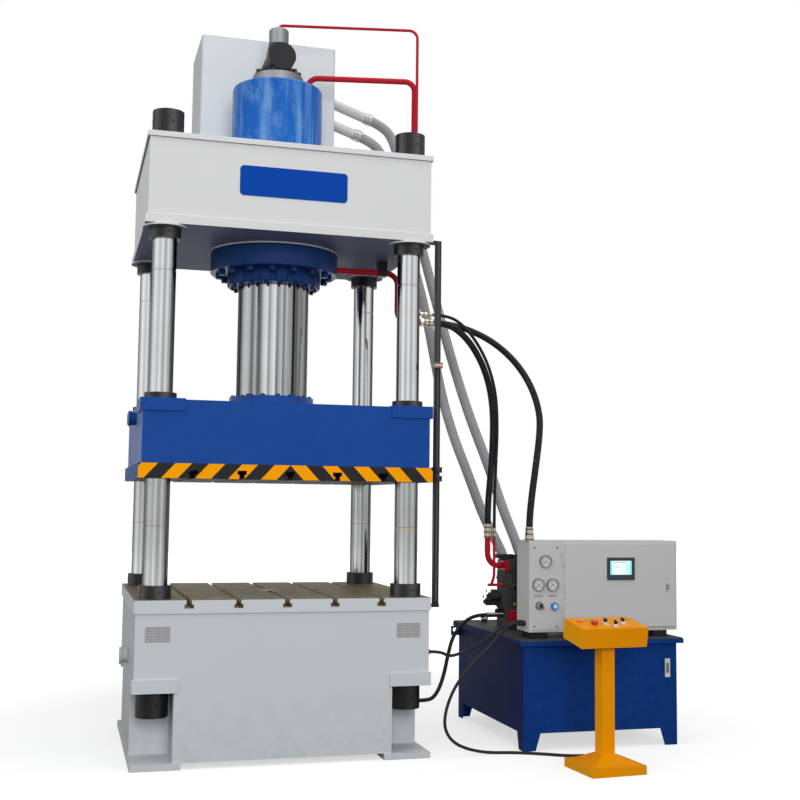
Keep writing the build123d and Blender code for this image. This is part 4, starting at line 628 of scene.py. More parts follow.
# %% Striped platen edge
platen_finish = Finish("platen_edge_stripes", (0.02, 0.12, 0.45), 0.5, specular=0.02)
stripe_pitch, stripe_slant, platen_top, platen_front, slot_end = 0.202, 0.93, 1.822, 0.764, 0.9
x, y, z = platen_finish.axes()
band = ((abs(x) - (platen_top - z) * stripe_slant) / stripe_pitch).bent("FRACT")
stripes = platen_finish.mixed(band > 0.49, (0.89, 0.33, 0.0020), (0.026, 0.026, 0.028))
_, looks_y, looks_up = platen_finish.facing()
edge = (abs(looks_y) > straight_on) * (abs(y) > platen_front)
slots = platen_finish.mixed(abs(x) < slot_end, (0.0123, 0.063, 0.279), (0.022, 0.020, 0.018))
plain = platen_finish.mixed(looks_up < -straight_on, slots, (0.075, 0.072, 0.066))
platen_finish.feed("Base Color", platen_finish.mixed(edge, plain, stripes))
platen_finish.bump(platen_finish.noise(150.0, 2.0), 0.08, 0.0004)

# %% [markdown]
# ## Soft edges
# A welded or sawn part never has a razor edge, and the small round catches the light. Each chosen solid is
# copied, its loose triangles are merged, flat faces are made whole, and a Bevel rounds what is left. A weldment
# of several touching solids is first joined by a Boolean, so that no seam shows where plates meet.


# %% Merge the touching solids of one node
merge_distance = 1e-6       # metres


def made_whole(mesh):
    """Join the loose solids of a mesh into one skin, in the order of their first faces."""
    work = bmesh.new()
    work.from_mesh(mesh)
    bmesh.ops.remove_doubles(work, verts=work.verts, dist=merge_distance)
    for items in (work.verts, work.faces):
        items.index_update()
        items.ensure_lookup_table()
    left, parts = set(range(len(work.faces))), []
    while left:
        waiting, group = [min(left)], []
        left.remove(waiting[0])
        while waiting:
            face = work.faces[waiting.pop()]
            group.append(face)
            shared = [edge.link_faces for edge in face.edges if len(edge.link_faces) == 2]
            near = {other.index for pair in shared for other in pair} & left
            left -= near
            waiting.extend(sorted(near))
        numbers = sorted({vert.index for face in group for vert in face.verts})
        place_of = {number: place for place, number in enumerate(numbers)}
        corners = [[place_of[vert.index] for vert in face.verts] for face in group]
        part = bpy.data.meshes.new("loose_solid")
        part.from_pydata([work.verts[number].co[:] for number in numbers], [], corners)
        parts.append(put_in_scene("loose_solid", part))
    work.free()
    whole = parts[0]
    for part in parts[1:]:
        union = whole.modifiers.new("union", "BOOLEAN")
        union.operation = "UNION"
        union.solver = "EXACT"
        union.object = part
    result = plain_mesh(whole)
    for part in parts:
        bpy.data.objects.remove(part)
    print("joined", len(parts), "solids")
    return result


# %% [markdown]
# Two forms are a little finer than in the solids: the console's post is slimmer, and the tank's sheet legs
# taper towards the floor. Each is a small function of a corner's place.


# %% Slimmer post and tapered legs
desk_slope = math.radians(10.2)


def slim_post(place):
    """Draw the corners of the console's post in towards its axis; its top stays on the sloping desk."""
    half_post, lowest, highest, slimmer = 0.0605, 0.1, 0.86, 0.74
    foot = Matrix.Translation((1.857, -1.333, 0)) @ Matrix.Rotation(math.radians(4.5), 4, "Z")
    local = foot.inverted() @ place
    if max(abs(local.x), abs(local.y)) > half_post or not lowest < local.z < highest:
        return place
    drawn = Vector((local.x * slimmer, local.y * slimmer, local.z))
    if local.z > 2 * lowest:
        drawn.z += math.tan(desk_slope) * (drawn.y - local.y)
    return foot @ drawn


def taper_leg(place):
    """Move the inner corners of the tank's legs outwards at the floor."""
    if place.z > 0.001:
        return place
    taper, sheet = 0.28, 0.05
    x = 1.571 if place.x < 2.1 else 2.682
    y = -0.720 if place.y < -0.06 else 0.594
    drawn_x = (x - place.x) * taper if abs(place.x - x) > sheet else 0.0
    drawn_y = (y - place.y) * taper if abs(place.y - y) > sheet else 0.0
    return Vector((place.x + drawn_x, place.y + drawn_y, place.z))


reshaped = {"console_stand": slim_post, "oil_tank": taper_leg}


# %% Copy a solid with soft edges
def coated(mesh, finish):
    """Give a mesh one finish in place of what it had."""
    mesh.materials.clear()
    mesh.materials.append(finish)


def softened(node, width, finish):
    """A copy of a CAD node with its edges rounded, which then stands for the node."""
    mesh = made_whole(nodes[node].data) if node == "bed_frame" else nodes[node].data.copy()
    piece = put_in_scene(node + "_dressed", mesh)
    work = bmesh.new()
    work.from_mesh(mesh)
    bmesh.ops.remove_doubles(work, verts=work.verts, dist=merge_distance)
    bmesh.ops.dissolve_limit(work, angle_limit=math.radians(1.0), verts=work.verts, edges=work.edges,
                             delimit={"NORMAL"})
    for face in work.faces:
        face.smooth = True
    if node in reshaped:
        for vertex in work.verts:
            vertex.co = reshaped[node](vertex.co)
    work.to_mesh(mesh)
    work.free()
    bevel = piece.modifiers.new("soft_edge", "BEVEL")
    bevel.width = width
    bevel.segments = 2
    bevel.limit_method = "ANGLE"
    bevel.angle_limit = math.radians(32)
    weighted = piece.modifiers.new("flat_stays_flat", "WEIGHTED_NORMAL")
    weighted.keep_sharp = True
    result = plain_mesh(piece)
    piece.modifiers.clear()
    piece.data = result
    coated(result, finish)
    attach(piece, body_of[node])
    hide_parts(node)
    return piece


# each node's edge radius in metres, and its finish
soft_edges = {
    "bed_frame": (0.004, off_white), "bed_table": (0.0022, table_steel.material),
    "crown_frame": (0.004, crown_white), "crosshead_frame": (0.004, crosshead_blue),
    "platen": (0.002, platen_finish.material), "fill_tank": (0.004, tank_grey),
    "oil_tank": (0.003, oil_tank_blue), "tank_lid": (0.002, lid_dark), "cabinet_shell": (0.002, cabinet_grey),
    "cabinet_door": (0.0025, cabinet_grey), "gauge_panel": (0.0012, cabinet_grey),
    "console_stand": (0.003, console_orange), "manifold_block": (0.002, block_finish.material),
    "column_nuts": (0.003, black_steel), "guide_bushes": (0.002, black_steel),
    "motor_pump": (0.003, motor_blue), "pipe_clamps": (0.002, clamp_finish.material),
    "limit_rail": (0.002, rail_finish.material), "gland_cover": (0.002, flange_blue),
}
for node, (width, finish) in soft_edges.items():
    piece = softened(node, width, finish)
    print(node, "faces", len(piece.data.polygons))

# %% The main cylinder: bright blue barrel with a painted reflection of pale and dark upright streaks and a pale haze, and a darker flange
barrel_finish = Finish("cylinder_two_blues", (0.022, 0.11, 0.40), 0.3, coat=0.04, specular=0.06)
flange_top = 3.4
flange = barrel_finish.axes()[2] < flange_top
# pale and dark upright streaks and a pale haze: painted reflection in the glossy paint
pale_reflection = ((barrel_finish.noise(9.0, 3.0, (1, 1, 0.06), 0.6) - 0.48) * 6).clipped()
dark_reflection = ((0.46 - barrel_finish.noise(5.0, 3.0, (1.3, 1.3, 0.05), 0.6)) * 6).clipped()
streaked = barrel_finish.mixed(pale_reflection * 0.8, (0.010, 0.105, 0.42), (0.15, 0.33, 0.60))
streaked = barrel_finish.mixed(dark_reflection * 0.7, streaked, (0.008, 0.055, 0.26))
reflected_haze = ((barrel_finish.noise(3.6, 6.0, (1, 1, 0.6), 0.7) - 0.48) * 5).clipped()
streaked = barrel_finish.mixed(reflected_haze * 0.55, streaked, (0.22, 0.39, 0.62))
barrel_finish.feed("Base Color", barrel_finish.mixed(flange, streaked, (0.014, 0.042, 0.145)))
barrel_finish.feed("Roughness", barrel_finish.noise(5.0, 3.0) * 0.12 + 0.24)
barrel_finish.bump(barrel_finish.noise(160.0, 2.0), 0.06, 0.0004)

# %% The valve: a bright flange and cap in upright bands of painted reflection, a dark painted middle
valve_finish = Finish("valve_three_tones", (0.26, 0.27, 0.28), 0.42)
middle_foot, middle_top = 4.5635, 4.80
height = valve_finish.axes()[2]
middle = (height > middle_foot) * (height < middle_top)
# the bright flange and cap carry upright bands of painted reflection
valve_reflection_tones = ((0, .10), (.12, .20), (.30, .42), (.45, .34), (.62, .46), (.80, .22), (1, .08))
valve_reflection_bands = painted_reflection_bands(valve_finish, valve_reflection_tones)
worn = valve_finish.mixed(valve_finish.noise(14.0, 5.0) * 0.6, valve_reflection_bands, (0.22, 0.23, 0.24))
dark = valve_finish.mixed(valve_finish.noise(14.0, 5.0), (0.020, 0.022, 0.025), (0.07, 0.073, 0.078))
valve_finish.feed("Base Color", valve_finish.mixed(middle, worn, dark))
valve_finish.feed("Metallic", (1 - middle) * 0.2)
valve_finish.bump(valve_finish.noise(150.0, 3.0), 0.15, 0.0005)

# %% Paint the solids that keep their own mesh
own_mesh = {
    "columns": column_chrome, "ram": ram_chrome, "piston": ground_steel,
    "cylinder_body": barrel_finish.material, "prefill_body": valve_finish.material,
    "prefill_poppet": ground_steel, "fill_pipe": black_paint, "return_pipes": pipe_grey,
    "red_pipes": pipe_red, "hose_fittings": fitting_zinc.material, "cable_glands": black_plastic,
    "blank_plates": plate_finish.material,
    "ejector_cylinder": motor_blue, "ejector_rod": oiled_steel, "level_gauge": latch_silver,
    "solenoid_valves": black_plastic, "manifold_pipes": pipe_red, "door_latch": latch_silver,
    "touch_screen": screen_frame, "mounting_plate": zinc,
    "needle_top": black_plastic, "needle_left": black_plastic, "needle_right": black_plastic,
    "knob_silver": knob_aluminium, "knob_blue": knob_blue_plastic, "emergency_stop": stop_red,
    "start_button": button_red, "selector_left": selector_black, "selector_middle": selector_black,
    "selector_right": selector_black,
}
for node, finish in own_mesh.items():
    coated(nodes[node].data, finish)
for node, line in lines.items():
    line.data.materials.append(black_hose.material if node.endswith("hose") else cable_sheath)
print("painted", len(own_mesh) + len(lines))

# %% [markdown]
# ## What repeats grows from nodes
# A ring of bolts, the marks on a dial and the ribs of a hose are each one small shape repeated. Geometry Nodes
# place them by a count and a radius; the result is kept as a plain mesh.


# %% A node tree for growing geometry
class Growth(Wiring):
    """A Geometry Nodes tree with named inputs."""

    def __init__(self, name, inputs):
        tree = bpy.data.node_groups.new(name, "GeometryNodeTree")
        super().__init__(tree)
        tree.interface.new_socket("Geometry", in_out="OUTPUT", socket_type="NodeSocketGeometry")
        for label, kind in {**inputs, "Material": "Material"}.items():
            tree.interface.new_socket(label, in_out="INPUT", socket_type="NodeSocket" + kind)
        entry = tree.nodes.new("NodeGroupInput")
        self.given = {out.name: Link(tree, out) for out in entry.outputs if out.name}

    def finish(self, geometry):
        """End the tree in real geometry that carries its material."""
        solid = self.node("GeometryNodeRealizeInstances", values={0: geometry})
        dressed = self.node("GeometryNodeSetMaterial", values={
            "Geometry": solid, "Material": self.given["Material"]})
        leave = self.tree.nodes.new("NodeGroupOutput")
        self.tree.links.new(dressed.socket, leave.inputs[0])

    def vector(self, x=0.0, y=0.0, z=0.0):
        return self.node("ShaderNodeCombineXYZ", values={"X": x, "Y": y, "Z": z})

    def grow(self, name, body, place=Matrix(), **inputs):
        """Run the tree once and keep what it makes, moved to its place."""
        seed = put_in_scene(name, bpy.data.meshes.new(name))
        modifier = seed.modifiers.new("grow", "NODES")
        modifier.node_group = self.tree
        for item in self.tree.interface.items_tree:
            if item.in_out == "INPUT" and item.name in inputs:
                modifier[item.identifier] = inputs[item.name]
        mesh = plain_mesh(seed)
        seed.modifiers.clear()
        mesh.transform(place)
        seed.data = mesh
        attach(seed, body)
        print(name, "faces", len(mesh.polygons))
        return seed


# %% Ring of hexagon bolts, each head on a washer
bolts = Growth("ring_of_bolts", {
    "Count": "Int", "Ring": "Float", "Start": "Float", "Head": "Float", "Tall": "Float"})
head, tall = bolts.given["Head"], bolts.given["Tall"]
washer_share = 0.16     # of a bolt's height; the hexagon has the rest
rounds = []
for corners, radius, foot, depth in (
        (20, head, 0.0, washer_share), (6, head * 0.94, washer_share, 1 - washer_share)):
    drum = bolts.node("GeometryNodeMeshCylinder", values={
        "Vertices": corners, "Radius": radius, "Depth": tall * depth})
    rounds.append(bolts.node("GeometryNodeTransform", values={
        "Geometry": drum, "Translation": bolts.vector(z=tall * (foot + depth / 2))}))
one_bolt = bolts.node("GeometryNodeJoinGeometry", values={"Geometry": rounds})
circle = bolts.node("GeometryNodeMeshCircle", values={
    "Vertices": bolts.given["Count"], "Radius": bolts.given["Ring"]})
circle = bolts.node("GeometryNodeTransform", values={
    "Geometry": circle, "Rotation": bolts.vector(z=bolts.given["Start"])})
bolts.finish(bolts.node("GeometryNodeInstanceOnPoints", values={"Points": circle, "Instance": one_bolt}))

hanging = Matrix.Rotation(math.pi, 4, "X")
# piece, node, place, count, ring radius, first bolt in degrees, head radius, height, finish
rings = (
    ("flange_bolts_dressed", "cylinder_bolts", Matrix.Translation((0, 0, 3.152)) @ hanging,
     16, 0.376, 11.25, 0.025, 0.030, flange_blue),
    ("gland_bolts_dressed", "cylinder_bolts", Matrix.Translation((0, 0, 3.063)) @ hanging,
     18, 0.280, 10.0, 0.013, 0.018, flange_blue),
    ("valve_bolts_dressed", "cylinder_bolts", Matrix.Translation((0, 0, 4.563)),
     12, 0.145, 12.0, 0.020, 0.036, bolt_steel),
    ("ram_bolts_dressed", "ram_bolts", Matrix.Translation((0, 0, 2.300)),
     16, 0.2645, 0.0, 0.014, 0.013, crosshead_blue),
)
for name, node, place, count, ring, start, head, tall, finish in rings:
    piece = bolts.grow(name, body_of[node], place, Count=count, Ring=ring, Start=math.radians(start), Head=head,
                       Tall=tall, Material=finish)
    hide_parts(node)

# %% Ribbed hose: rings along the laid line
ribs = Growth("ribbed_hose", {"Route": "Object", "Radius": "Float", "Pitch": "Float"})
route = ribs.node("GeometryNodeObjectInfo", values={"Object": ribs.given["Route"]}, out=4)
steps_a_rib, valley_depth, rib_pitch = 3, 0.10, 0.019
golden_step = 0.618     # spreads the tones of the streaks evenly round the hose
fine = ribs.node("GeometryNodeResampleCurve", {"mode": "LENGTH"}, {
    "Curve": route, "Length": ribs.given["Pitch"] / steps_a_rib})
step = ribs.node("GeometryNodeInputIndex")
valley = (step / steps_a_rib).bent("FRACT") < 0.3
width = ribs.given["Radius"] * (1 - valley * valley_depth)
profile = ribs.node("GeometryNodeCurvePrimitiveCircle", values={"Resolution": 20, "Radius": 1.0})
profile = ribs.node("GeometryNodeStoreNamedAttribute", {"data_type": "FLOAT", "domain": "POINT"}, {
    "Geometry": profile, "Name": "streak", "Value": (step * golden_step).bent("FRACT")})
ribs.finish(ribs.node("GeometryNodeCurveToMesh", values={
    "Curve": fine, "Profile Curve": profile, "Scale": width, "Fill Caps": True}))

for node in ribbed_lines:
    radius_mm, points_mm = routes[node]
    guide = lay_line(node + "_guide", points_mm, 0)
    walked = bpy.data.meshes.new_from_object(guide)
    hose = ribs.grow(node + "_ribbed", "press", Route=guide, Radius=radius_mm / 1000, Pitch=rib_pitch,
                     Material=grey_hose.material)
    for face in hose.data.polygons:
        face.use_smooth = True
    bpy.data.objects.remove(guide)
    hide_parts(node)
    line_length(points_mm)
    print(node, "length m", round(line_length(points_mm), 3))

# %% Marks on a dial: short bars on an arc
dial_sweep, dial_end, ink = 270, -45, 0.0006        # degrees, degrees, and the marks' thickness in metres
marks = Growth("dial_marks", {"Count": "Int", "Ring": "Float", "Long": "Float", "Thick": "Float"})
arc_points = marks.node("GeometryNodeMeshLine", values={"Count": marks.given["Count"]})
step = marks.node("GeometryNodeInputIndex")
angle = step / (marks.given["Count"] - 1) * math.radians(dial_sweep) + math.radians(dial_end)
arc = marks.node("GeometryNodeSetPosition", values={
    "Geometry": arc_points, "Position": marks.vector(
        angle.bent("COSINE") * marks.given["Ring"], 0.0, angle.bent("SINE") * marks.given["Ring"])})
bar = marks.node("GeometryNodeMeshCube", values={
    "Size": marks.vector(marks.given["Long"], ink, marks.given["Thick"])})
marks.finish(marks.node("GeometryNodeInstanceOnPoints", values={
    "Points": arc, "Instance": bar, "Rotation": marks.vector(y=0 - angle)}))


# %% [markdown]
# ## Turned pieces
# Gauge cases, knob caps and button collars are lathe work: a profile of radius and depth, spun round an axis.
# From here on, places and sizes are in millimetres, as on a drawing.


# %% A small lathe
def turned(name, profile_mm, place, finish, body, sides=48, bored=False):
    """Spin (radius, along) points round the local Z of a placement.

    A bored piece is a ring whose profile closes on itself; the others get a face at each end.
    """
    vertices, faces = [], []
    for radius, along in profile_mm:
        for side in range(sides):
            angle = 2 * math.pi * side / sides
            vertices.append(place @ Vector((radius * math.cos(angle), radius * math.sin(angle), along)))
    last = (len(profile_mm) - 1) * sides
    for near in range(0, last + bored, sides):
        far = (near + sides) % (last + sides)
        for side in range(sides):
            nxt = (side + 1) % sides
            faces.append((near + side, near + nxt, far + nxt, far + side))
    if not bored:
        faces.append(tuple(range(sides - 1, -1, -1)))
        faces.append(tuple(last + side for side in range(sides)))
    mesh = bpy.data.meshes.new(name)
    mesh.from_pydata([vertex / 1000 for vertex in vertices], [], faces)
    mesh.materials.append(finish)
    for face in mesh.polygons:
        face.use_smooth = len(face.vertices) == 4
    mesh.set_sharp_from_angle(angle=math.radians(35))
    piece = put_in_scene(name, mesh)
    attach(piece, body)
    return piece


def slab(name, x_mm, y_mm, z_mm, finish, body, place=Matrix()):
    """A thin plate between two corners, with an optional placement."""
    corners = [Vector((x, y, z)) for x in x_mm for y in y_mm for z in z_mm]
    mesh = bpy.data.meshes.new(name)
    mesh.from_pydata([place @ corner / 1000 for corner in corners], [], [
        (0, 1, 3, 2), (4, 6, 7, 5), (0, 4, 5, 1), (2, 3, 7, 6), (0, 2, 6, 4), (1, 5, 7, 3)])
    mesh.materials.append(finish)
    piece = put_in_scene(name, mesh)
    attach(piece, body)


def facing_front(x, y, z):
    """A placement whose local Z points out of the front, towards -Y."""
    return Matrix.Translation((x, y, z)) @ Matrix.Rotation(math.pi / 2, 4, "X")


def facing_left(x, y, z):
    """A placement whose local Z points to the left, towards -X."""
    return Matrix.Translation((x, y, z)) @ Matrix.Rotation(-math.pi / 2, 4, "Y")


# %% Gauge glass: clear, with a faint sheen
glass = Finish("gauge_glass", (0.9, 0.95, 0.95), 0.05)
glass.shader.inputs["Alpha"].default_value = 0.12
glass.material.surface_render_method = "BLENDED"

# %% Three pressure gauges: case, a black ring at the dial's edge, partly bezel and partly painted shade, dial and glass
gauge_body = body_of["gauges"]
gauge_places = ((1741, 1223), (1691, 1069), (1791, 1068))
panel_face = -681
for number, (x, z) in enumerate(gauge_places):
    seat = facing_front(x, panel_face, z)
    case = turned(f"gauge_case_{number}", [
        (35, -59), (35, 0), (43, 0), (43, 20), (41.5, 23), (38.5, 23), (38, 21), (38, 9)],
        seat, gauge_rim, gauge_body)
    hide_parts("gauges")
    for name, profile_mm, finish in (
            # the black ring at the dial's edge is partly the bezel and partly painted shade under the rim
            ("inner_ring", [(38.3, 9.0), (38.3, 17.5), (36.4, 17.5), (34.6, 9.7), (34.6, 9.05)], black_plastic),
            ("dial", [(37.6, 9.1), (37.6, 9.6), (3.2, 9.6), (3.2, 9.1)], white_enamel),
            ("glass", [(37.8, 19.6), (37.8, 21)], glass.material)):
        turned(f"gauge_{name}_{number}", profile_mm, seat, finish, gauge_body)

# %% Marks and generic numbers on each dial, in metres
dial_face, number_ring, number_size = -0.6909, 0.0205, 0.0125
for number, (x, z) in enumerate(gauge_places):
    middle_x, middle_z = x / 1000, z / 1000
    for count, long, thick, ring in ((13, 0.008, 0.0026, 0.0302), (61, 0.004, 0.0011, 0.0323)):
        marks.grow(f"gauge_marks_{number}_{count}", gauge_body,
                   Matrix.Translation((middle_x, dial_face, middle_z)),
                   Count=count, Ring=ring, Long=long, Thick=thick, Material=black_plastic)
    for value in range(5):
        turn = math.radians(dial_end + dial_sweep * (1 - value / 4))
        text = bpy.data.curves.new(f"gauge_number_{number}_{value}", "FONT")
        text.body = str(value * 10)
        text.size = number_size
        text.align_x = text.align_y = "CENTER"
        written = bpy.data.objects.new("number", text)
        mesh = bpy.data.meshes.new_from_object(written)
        bpy.data.objects.remove(written)
        mesh.transform(Matrix.Translation((
            middle_x + number_ring * math.cos(turn), dial_face, middle_z + number_ring * math.sin(turn)))
            @ Matrix.Rotation(math.pi / 2, 4, "X"))
        coated(mesh, black_plastic)
        figure = put_in_scene(f"gauge_number_{number}_{value}", mesh)
        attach(figure, gauge_body)

# %% Knob caps, screws and small strips on the panel
panel, silver, blue = body_of["gauge_panel"], body_of["knob_silver"], body_of["knob_blue"]
for name, profile_mm, place, finish, body in (
        ("silver_knob_skirt", [(22.5, 0), (22.5, 3), (21.5, 4), (20.8, 12), (18, 14)], (1698, -682, 932),
         knob_aluminium, silver),
        ("silver_knob_seat", [(27, 0), (27, 2), (25, 2.8)], (1698, panel_face, 932), black_plastic, panel),
        ("silver_knob_cap", [(15, 0), (15, 0.8), (13, 1.5), (4, 1.5)], (1698, -716, 932), black_plastic,
         silver),
        ("silver_knob_dot", [(8, 0), (8, 2.0), (6, 2.8)], (1712, -716, 920), stop_red, silver),
        ("blue_knob_cap", [(14, 0), (14, 1.2), (12, 2)], (1803, -708, 927), white_enamel, blue)):
    turned(name, profile_mm, facing_front(*place), finish, body)
low, high = ([metres * 1000 for metres in corner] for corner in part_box("gauge_panel"))
for number, (x, z) in enumerate((
        (low[0] + 20, high[2] - 21), (high[0] - 22, high[2] - 21),
        (low[0] + 19, low[2] + 26), (high[0] - 25, low[2] + 24))):
    turned(f"panel_screw_{number}", [(5.5, 0), (5.5, 1.2), (4, 2)], facing_front(x, -684.5, z), bolt_steel,
           panel, 24)
for name, x in (("left", 1691), ("right", 1791)):
    slab(f"panel_strip_{name}", (x - 30, x + 30), (panel_face - 0.8, panel_face), (990, 999), label_grey, panel)

# %% Valves, nuts, plugs, a cap and port plates on the valve block
block = body_of["manifold_block"]
side, front_face = 1672, -110
for number, (y, z) in enumerate(((-30, 890), (-72, 868), (-20, 838))):
    turned(f"side_valve_{number}", [(21, 0), (21, 22), (17, 24), (17, 36), (10, 38)],
           facing_left(side, y, z), black_plastic, block)
for number, (y, z) in enumerate(((-60, 985), (4, 941))):
    turned(f"coil_nut_{number}", [(11, 0), (11, 7), (9, 9)], facing_left(side - 116, y, z), zinc, block, 6)
front_seat = facing_front(1744, front_face, 1009)
turned("front_valve", [(19, 0), (19, 6), (21, 7), (21, 22), (14, 25)], front_seat, black_plastic, block)
turned("front_valve_ring", [(21.6, 10), (21.6, 13)], front_seat, white_enamel, block)
turned("yellow_cap", [(10, 0), (10, 8), (8, 10)], facing_front(1745, front_face, 893), cap_yellow, block, 24)
plug_places = ((1690, 1085), (1728, 1085), (1690, 955), (1728, 930), (1752, 1130), (1752, 1060))
for number, (x, z) in enumerate(plug_places):
    turned(f"block_plug_{number}", [(9, 0), (9, 5), (8, 6)], facing_front(x, front_face, z), bolt_steel,
           block, 6)
slab("red_port_front", (1670, 1700), (-121, -116), (1130, 1200), pipe_red, block)
slab("red_port_side", (1666, side), (-121, -12), (1130, 1200), pipe_red, block)

# %% A thin steel pipe down the block's front
capillary = lay_line("thin_steel_pipe", [
    (1690, -112, 1100), (1690, -126, 1100), (1694, -130, 1080), (1738, -130, 960), (1742, -126, 940),
    (1742, -110, 938)], 3)
capillary.data.materials.append(dull_steel)
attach(capillary, block)

# %% The breather's rim on the lid, and the crimped sleeve round the hose above the cabinet
lid_top, cabinet_top = (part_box(node)[1][2] * 1000 for node in ("tank_lid", "cabinet_shell"))
turned("breather_rim", [(32, 0), (32, 9), (30.5, 11)], Matrix.Translation((1724, 452, lid_top - 30)), zinc,
       body_of["tank_lid"])
turned("hose_sleeve", [(23.6, 26.4), (29, 26.4), (29, 46), (26.5, 50), (26.5, 88), (23.6, 90)],
       Matrix.Translation((1643, -640, cabinet_top)), fitting_zinc.material, body_of["hose_fittings"], 32, True)

# %% The lit screen: a white page with cyan bars at its sides
page = Finish("lit_screen_page", (0.02, 0.02, 0.02), 0.25)
page_left, page_foot, page_wide, page_tall = 2.203, 1.132, 0.16, 0.094
x, _, z = page.axes()
across, up = (x - page_left) / page_wide, (z - page_foot) / page_tall
bars = ((across < 0.10) + (across > 0.90)).clipped()
drawn = (abs(up - 0.55) < 0.022) * (across > 0.22) * (across < 0.50) * ((across / 0.07).bent("FRACT") < 0.6)
header = (up > 0.86) * (up < 0.92) * (across > 0.15) * (across < 0.80) * ((across / 0.05).bent("FRACT") < 0.7)
lit = page.mixed(bars, (0.84, 0.97, 0.95), (0.22, 0.88, 0.84))
lit = page.mixed(((across > 0.70) * (up < 0.75)).clipped() * 0.5, lit, (0.30, 0.88, 0.86))
lit = page.mixed((drawn + header).clipped(), lit, (0.28, 0.40, 0.42))
page.feed("Emission Color", lit)
page.shader.inputs["Emission Strength"].default_value = 1.0
slab("screen_page", (2203.5, 2362.5), (-696.8, -696), (1132.5, 1225.5), page.material, body_of["touch_screen"])

# %% Latch, door and level glass details
turned("door_lock", [(9, 0), (9, 3), (7, 4.5)], facing_front(2633, -693, 1104), latch_silver,
       body_of["cabinet_door"])
for name, heights in (("latch_slot", (1034, 1046)), ("latch_slot_upper", (1054, 1060))):
    slab(name, (2630, 2640), (-708.8, -708), heights, black_plastic, body_of["door_latch"])
level = body_of["level_gauge"]
slab("level_glass", (2598.5, 2608.5), (-745.6, -745), (482, 543), screen_frame, level)
for name, z in (("low", 463), ("high", 562)):
    turned(f"level_screw_{name}", [(6, 0), (6, 3), (4.5, 4)], facing_front(2603.5, -738, z), zinc, level, 6)

# %% [markdown]
# ## The operator's desk
# The desk slopes towards the operator, so its small things are placed on its own plane: pale collars and strips
# at the selectors, an orange collar round the start button, and a green strip beside each end.

# %% Collars and strips on the sloping desk
desk = (Matrix.Translation((1858, -1333, 761)) @ Matrix.Rotation(math.radians(4.3), 4, "Z")
        @ Matrix.Rotation(desk_slope, 4, "X") @ Matrix.Translation((0, 0, 120)))
stand = body_of["console_stand"]
for number, (x, y) in enumerate(((-8, 2), (34, -48), (112, 4))):
    turned(f"switch_collar_{number}", [(19.5, 0), (19.5, 9), (17.5, 12), (15.6, 12.7)],
           desk @ Matrix.Translation((x, y, 0)), collar_metal, stand, 32)
    slab(f"switch_strip_{number}", (x - 22, x + 22), (y - 36, y - 24), (0, 0.8), white_enamel, stand, desk)
for number, (x, y) in enumerate(((-81, 65), (190, 70))):
    slab(f"green_strip_{number}", (x - 30, x + 30), (y - 8, y + 8), (0, 1.0), label_green, stand, desk)
start_seat = desk @ Matrix.Translation((-154, 52, 0))
turned("start_collar", [(19, 0), (19, 5), (16, 6.5), (12.5, 6.5), (12.5, 0)], start_seat, lens_orange, stand,
       32, True)
turned("start_lens", [(9, 0), (9, 1), (7, 1.5)], start_seat @ Matrix.Translation((0, 0, 10)), white_enamel,
       body_of["start_button"], 32)

# %% [markdown]
# ## Floor, light and background
# A pale floor catches the shadow. Large soft lamps stand in front, at the left and overhead, and the world is
# white to the camera, to reflections and through glass, and weaker where it lights things.

# %% Rays that see the background
def seen_by_rays(wiring):
    """1 for the camera, for reflections and through glass, 0 for light that falls on things."""
    camera_ray, glossy_ray, clear_ray = (
        wiring.node("ShaderNodeLightPath", out=name)
        for name in ("Is Camera Ray", "Is Glossy Ray", "Is Transmission Ray"))
    return (camera_ray + glossy_ray + clear_ray).clipped()


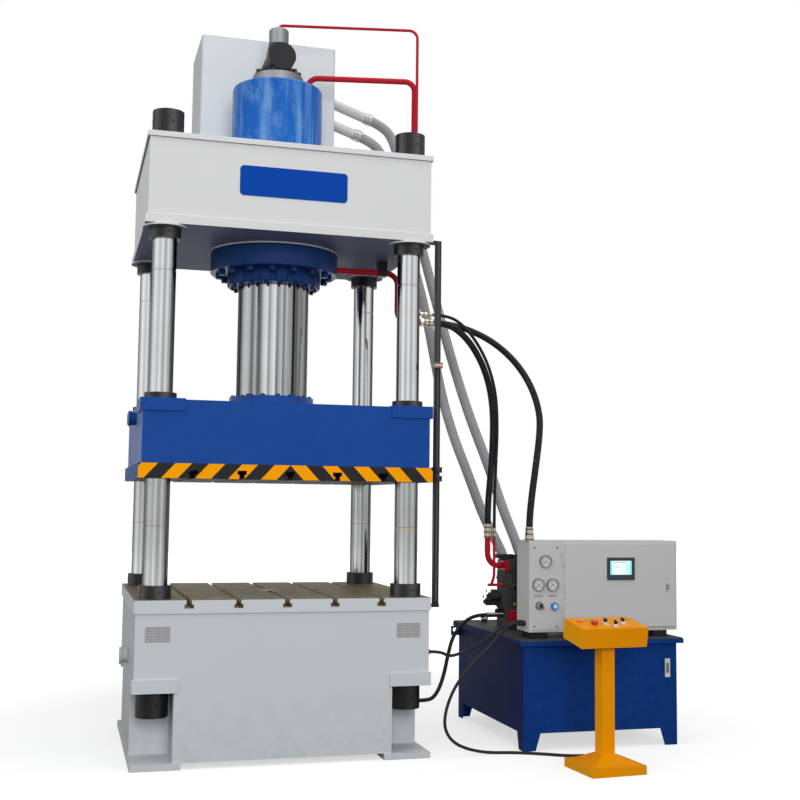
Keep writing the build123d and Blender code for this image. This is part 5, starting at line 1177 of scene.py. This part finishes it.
# %% Floor: near the press it takes the shadow, and further out it fades to white
bpy.ops.mesh.primitive_plane_add(size=60, location=(0.8, 0, 0))
floor = bpy.context.object
floor.name = "pale_floor"
floor_finish = Finish("pale_floor_paint", (0.45, 0.45, 0.45), 0.8)
seen = seen_by_rays(floor_finish)
fade_from, fade_over = 2.6, 4.0
x, y, _ = floor_finish.axes()
away = ((x * x + y * y).bent("SQRT") - fade_from) / fade_over
glow = floor_finish.mixed(away.clipped(), (0.60, 0.60, 0.60), (1.0, 1.0, 1.0))
floor_finish.feed("Emission Color", floor_finish.mixed(seen, (0, 0, 0), glow))
floor_finish.feed("Base Color", floor_finish.mixed(seen, (0.11, 0.11, 0.12), (0.45, 0.45, 0.45)))
floor_finish.shader.inputs["Emission Strength"].default_value = 1.0
floor.data.materials.append(floor_finish.material)

# %% World
world = bpy.data.worlds.new("soft_studio")
bpy.context.scene.world = world
world.use_nodes = True
sky = Wiring(world.node_tree)
shown = sky.tree.nodes["Background"]
shown.inputs["Color"].default_value = (1, 1, 1, 1)
shown.inputs["Strength"].default_value = 1.0
lighting = sky.node("ShaderNodeBackground", values={"Color": (0.97, 0.985, 1.0, 1), "Strength": 0.55})
blend = sky.node("ShaderNodeMixShader", values={
    0: seen_by_rays(sky), 1: lighting, 2: Link(sky.tree, shown.outputs[0])})
sky.tree.links.new(blend.socket, sky.tree.nodes["World Output"].inputs[0])


# %% Soft lamps
def soft_lamp(name, place, target, size, power, mirrored=True):
    """A square area lamp aimed at a point, which polished metal shows only where it helps."""
    data = bpy.data.lights.new(name, "AREA")
    data.size = size
    data.energy = power
    lamp = put_in_scene(name, data)
    lamp.location = place
    lamp.rotation_euler = (Vector(target) - Vector(place)).to_track_quat("-Z", "Y").to_euler()
    lamp.visible_glossy = mirrored


soft_lamp("front_lamp", (-1.0, -12.5, 4.0), (0.9, 0, 1.8), 5.0, 780, False)
soft_lamp("left_lamp", (-9.0, -6.0, 8.0), (0.6, 0, 2.4), 5.0, 230, False)
soft_lamp("overhead_lamp", (1.5, -2.5, 11.0), (1.2, -0.5, 1.0), 5.0, 280)
bpy.context.scene.view_settings.view_transform = "Standard"
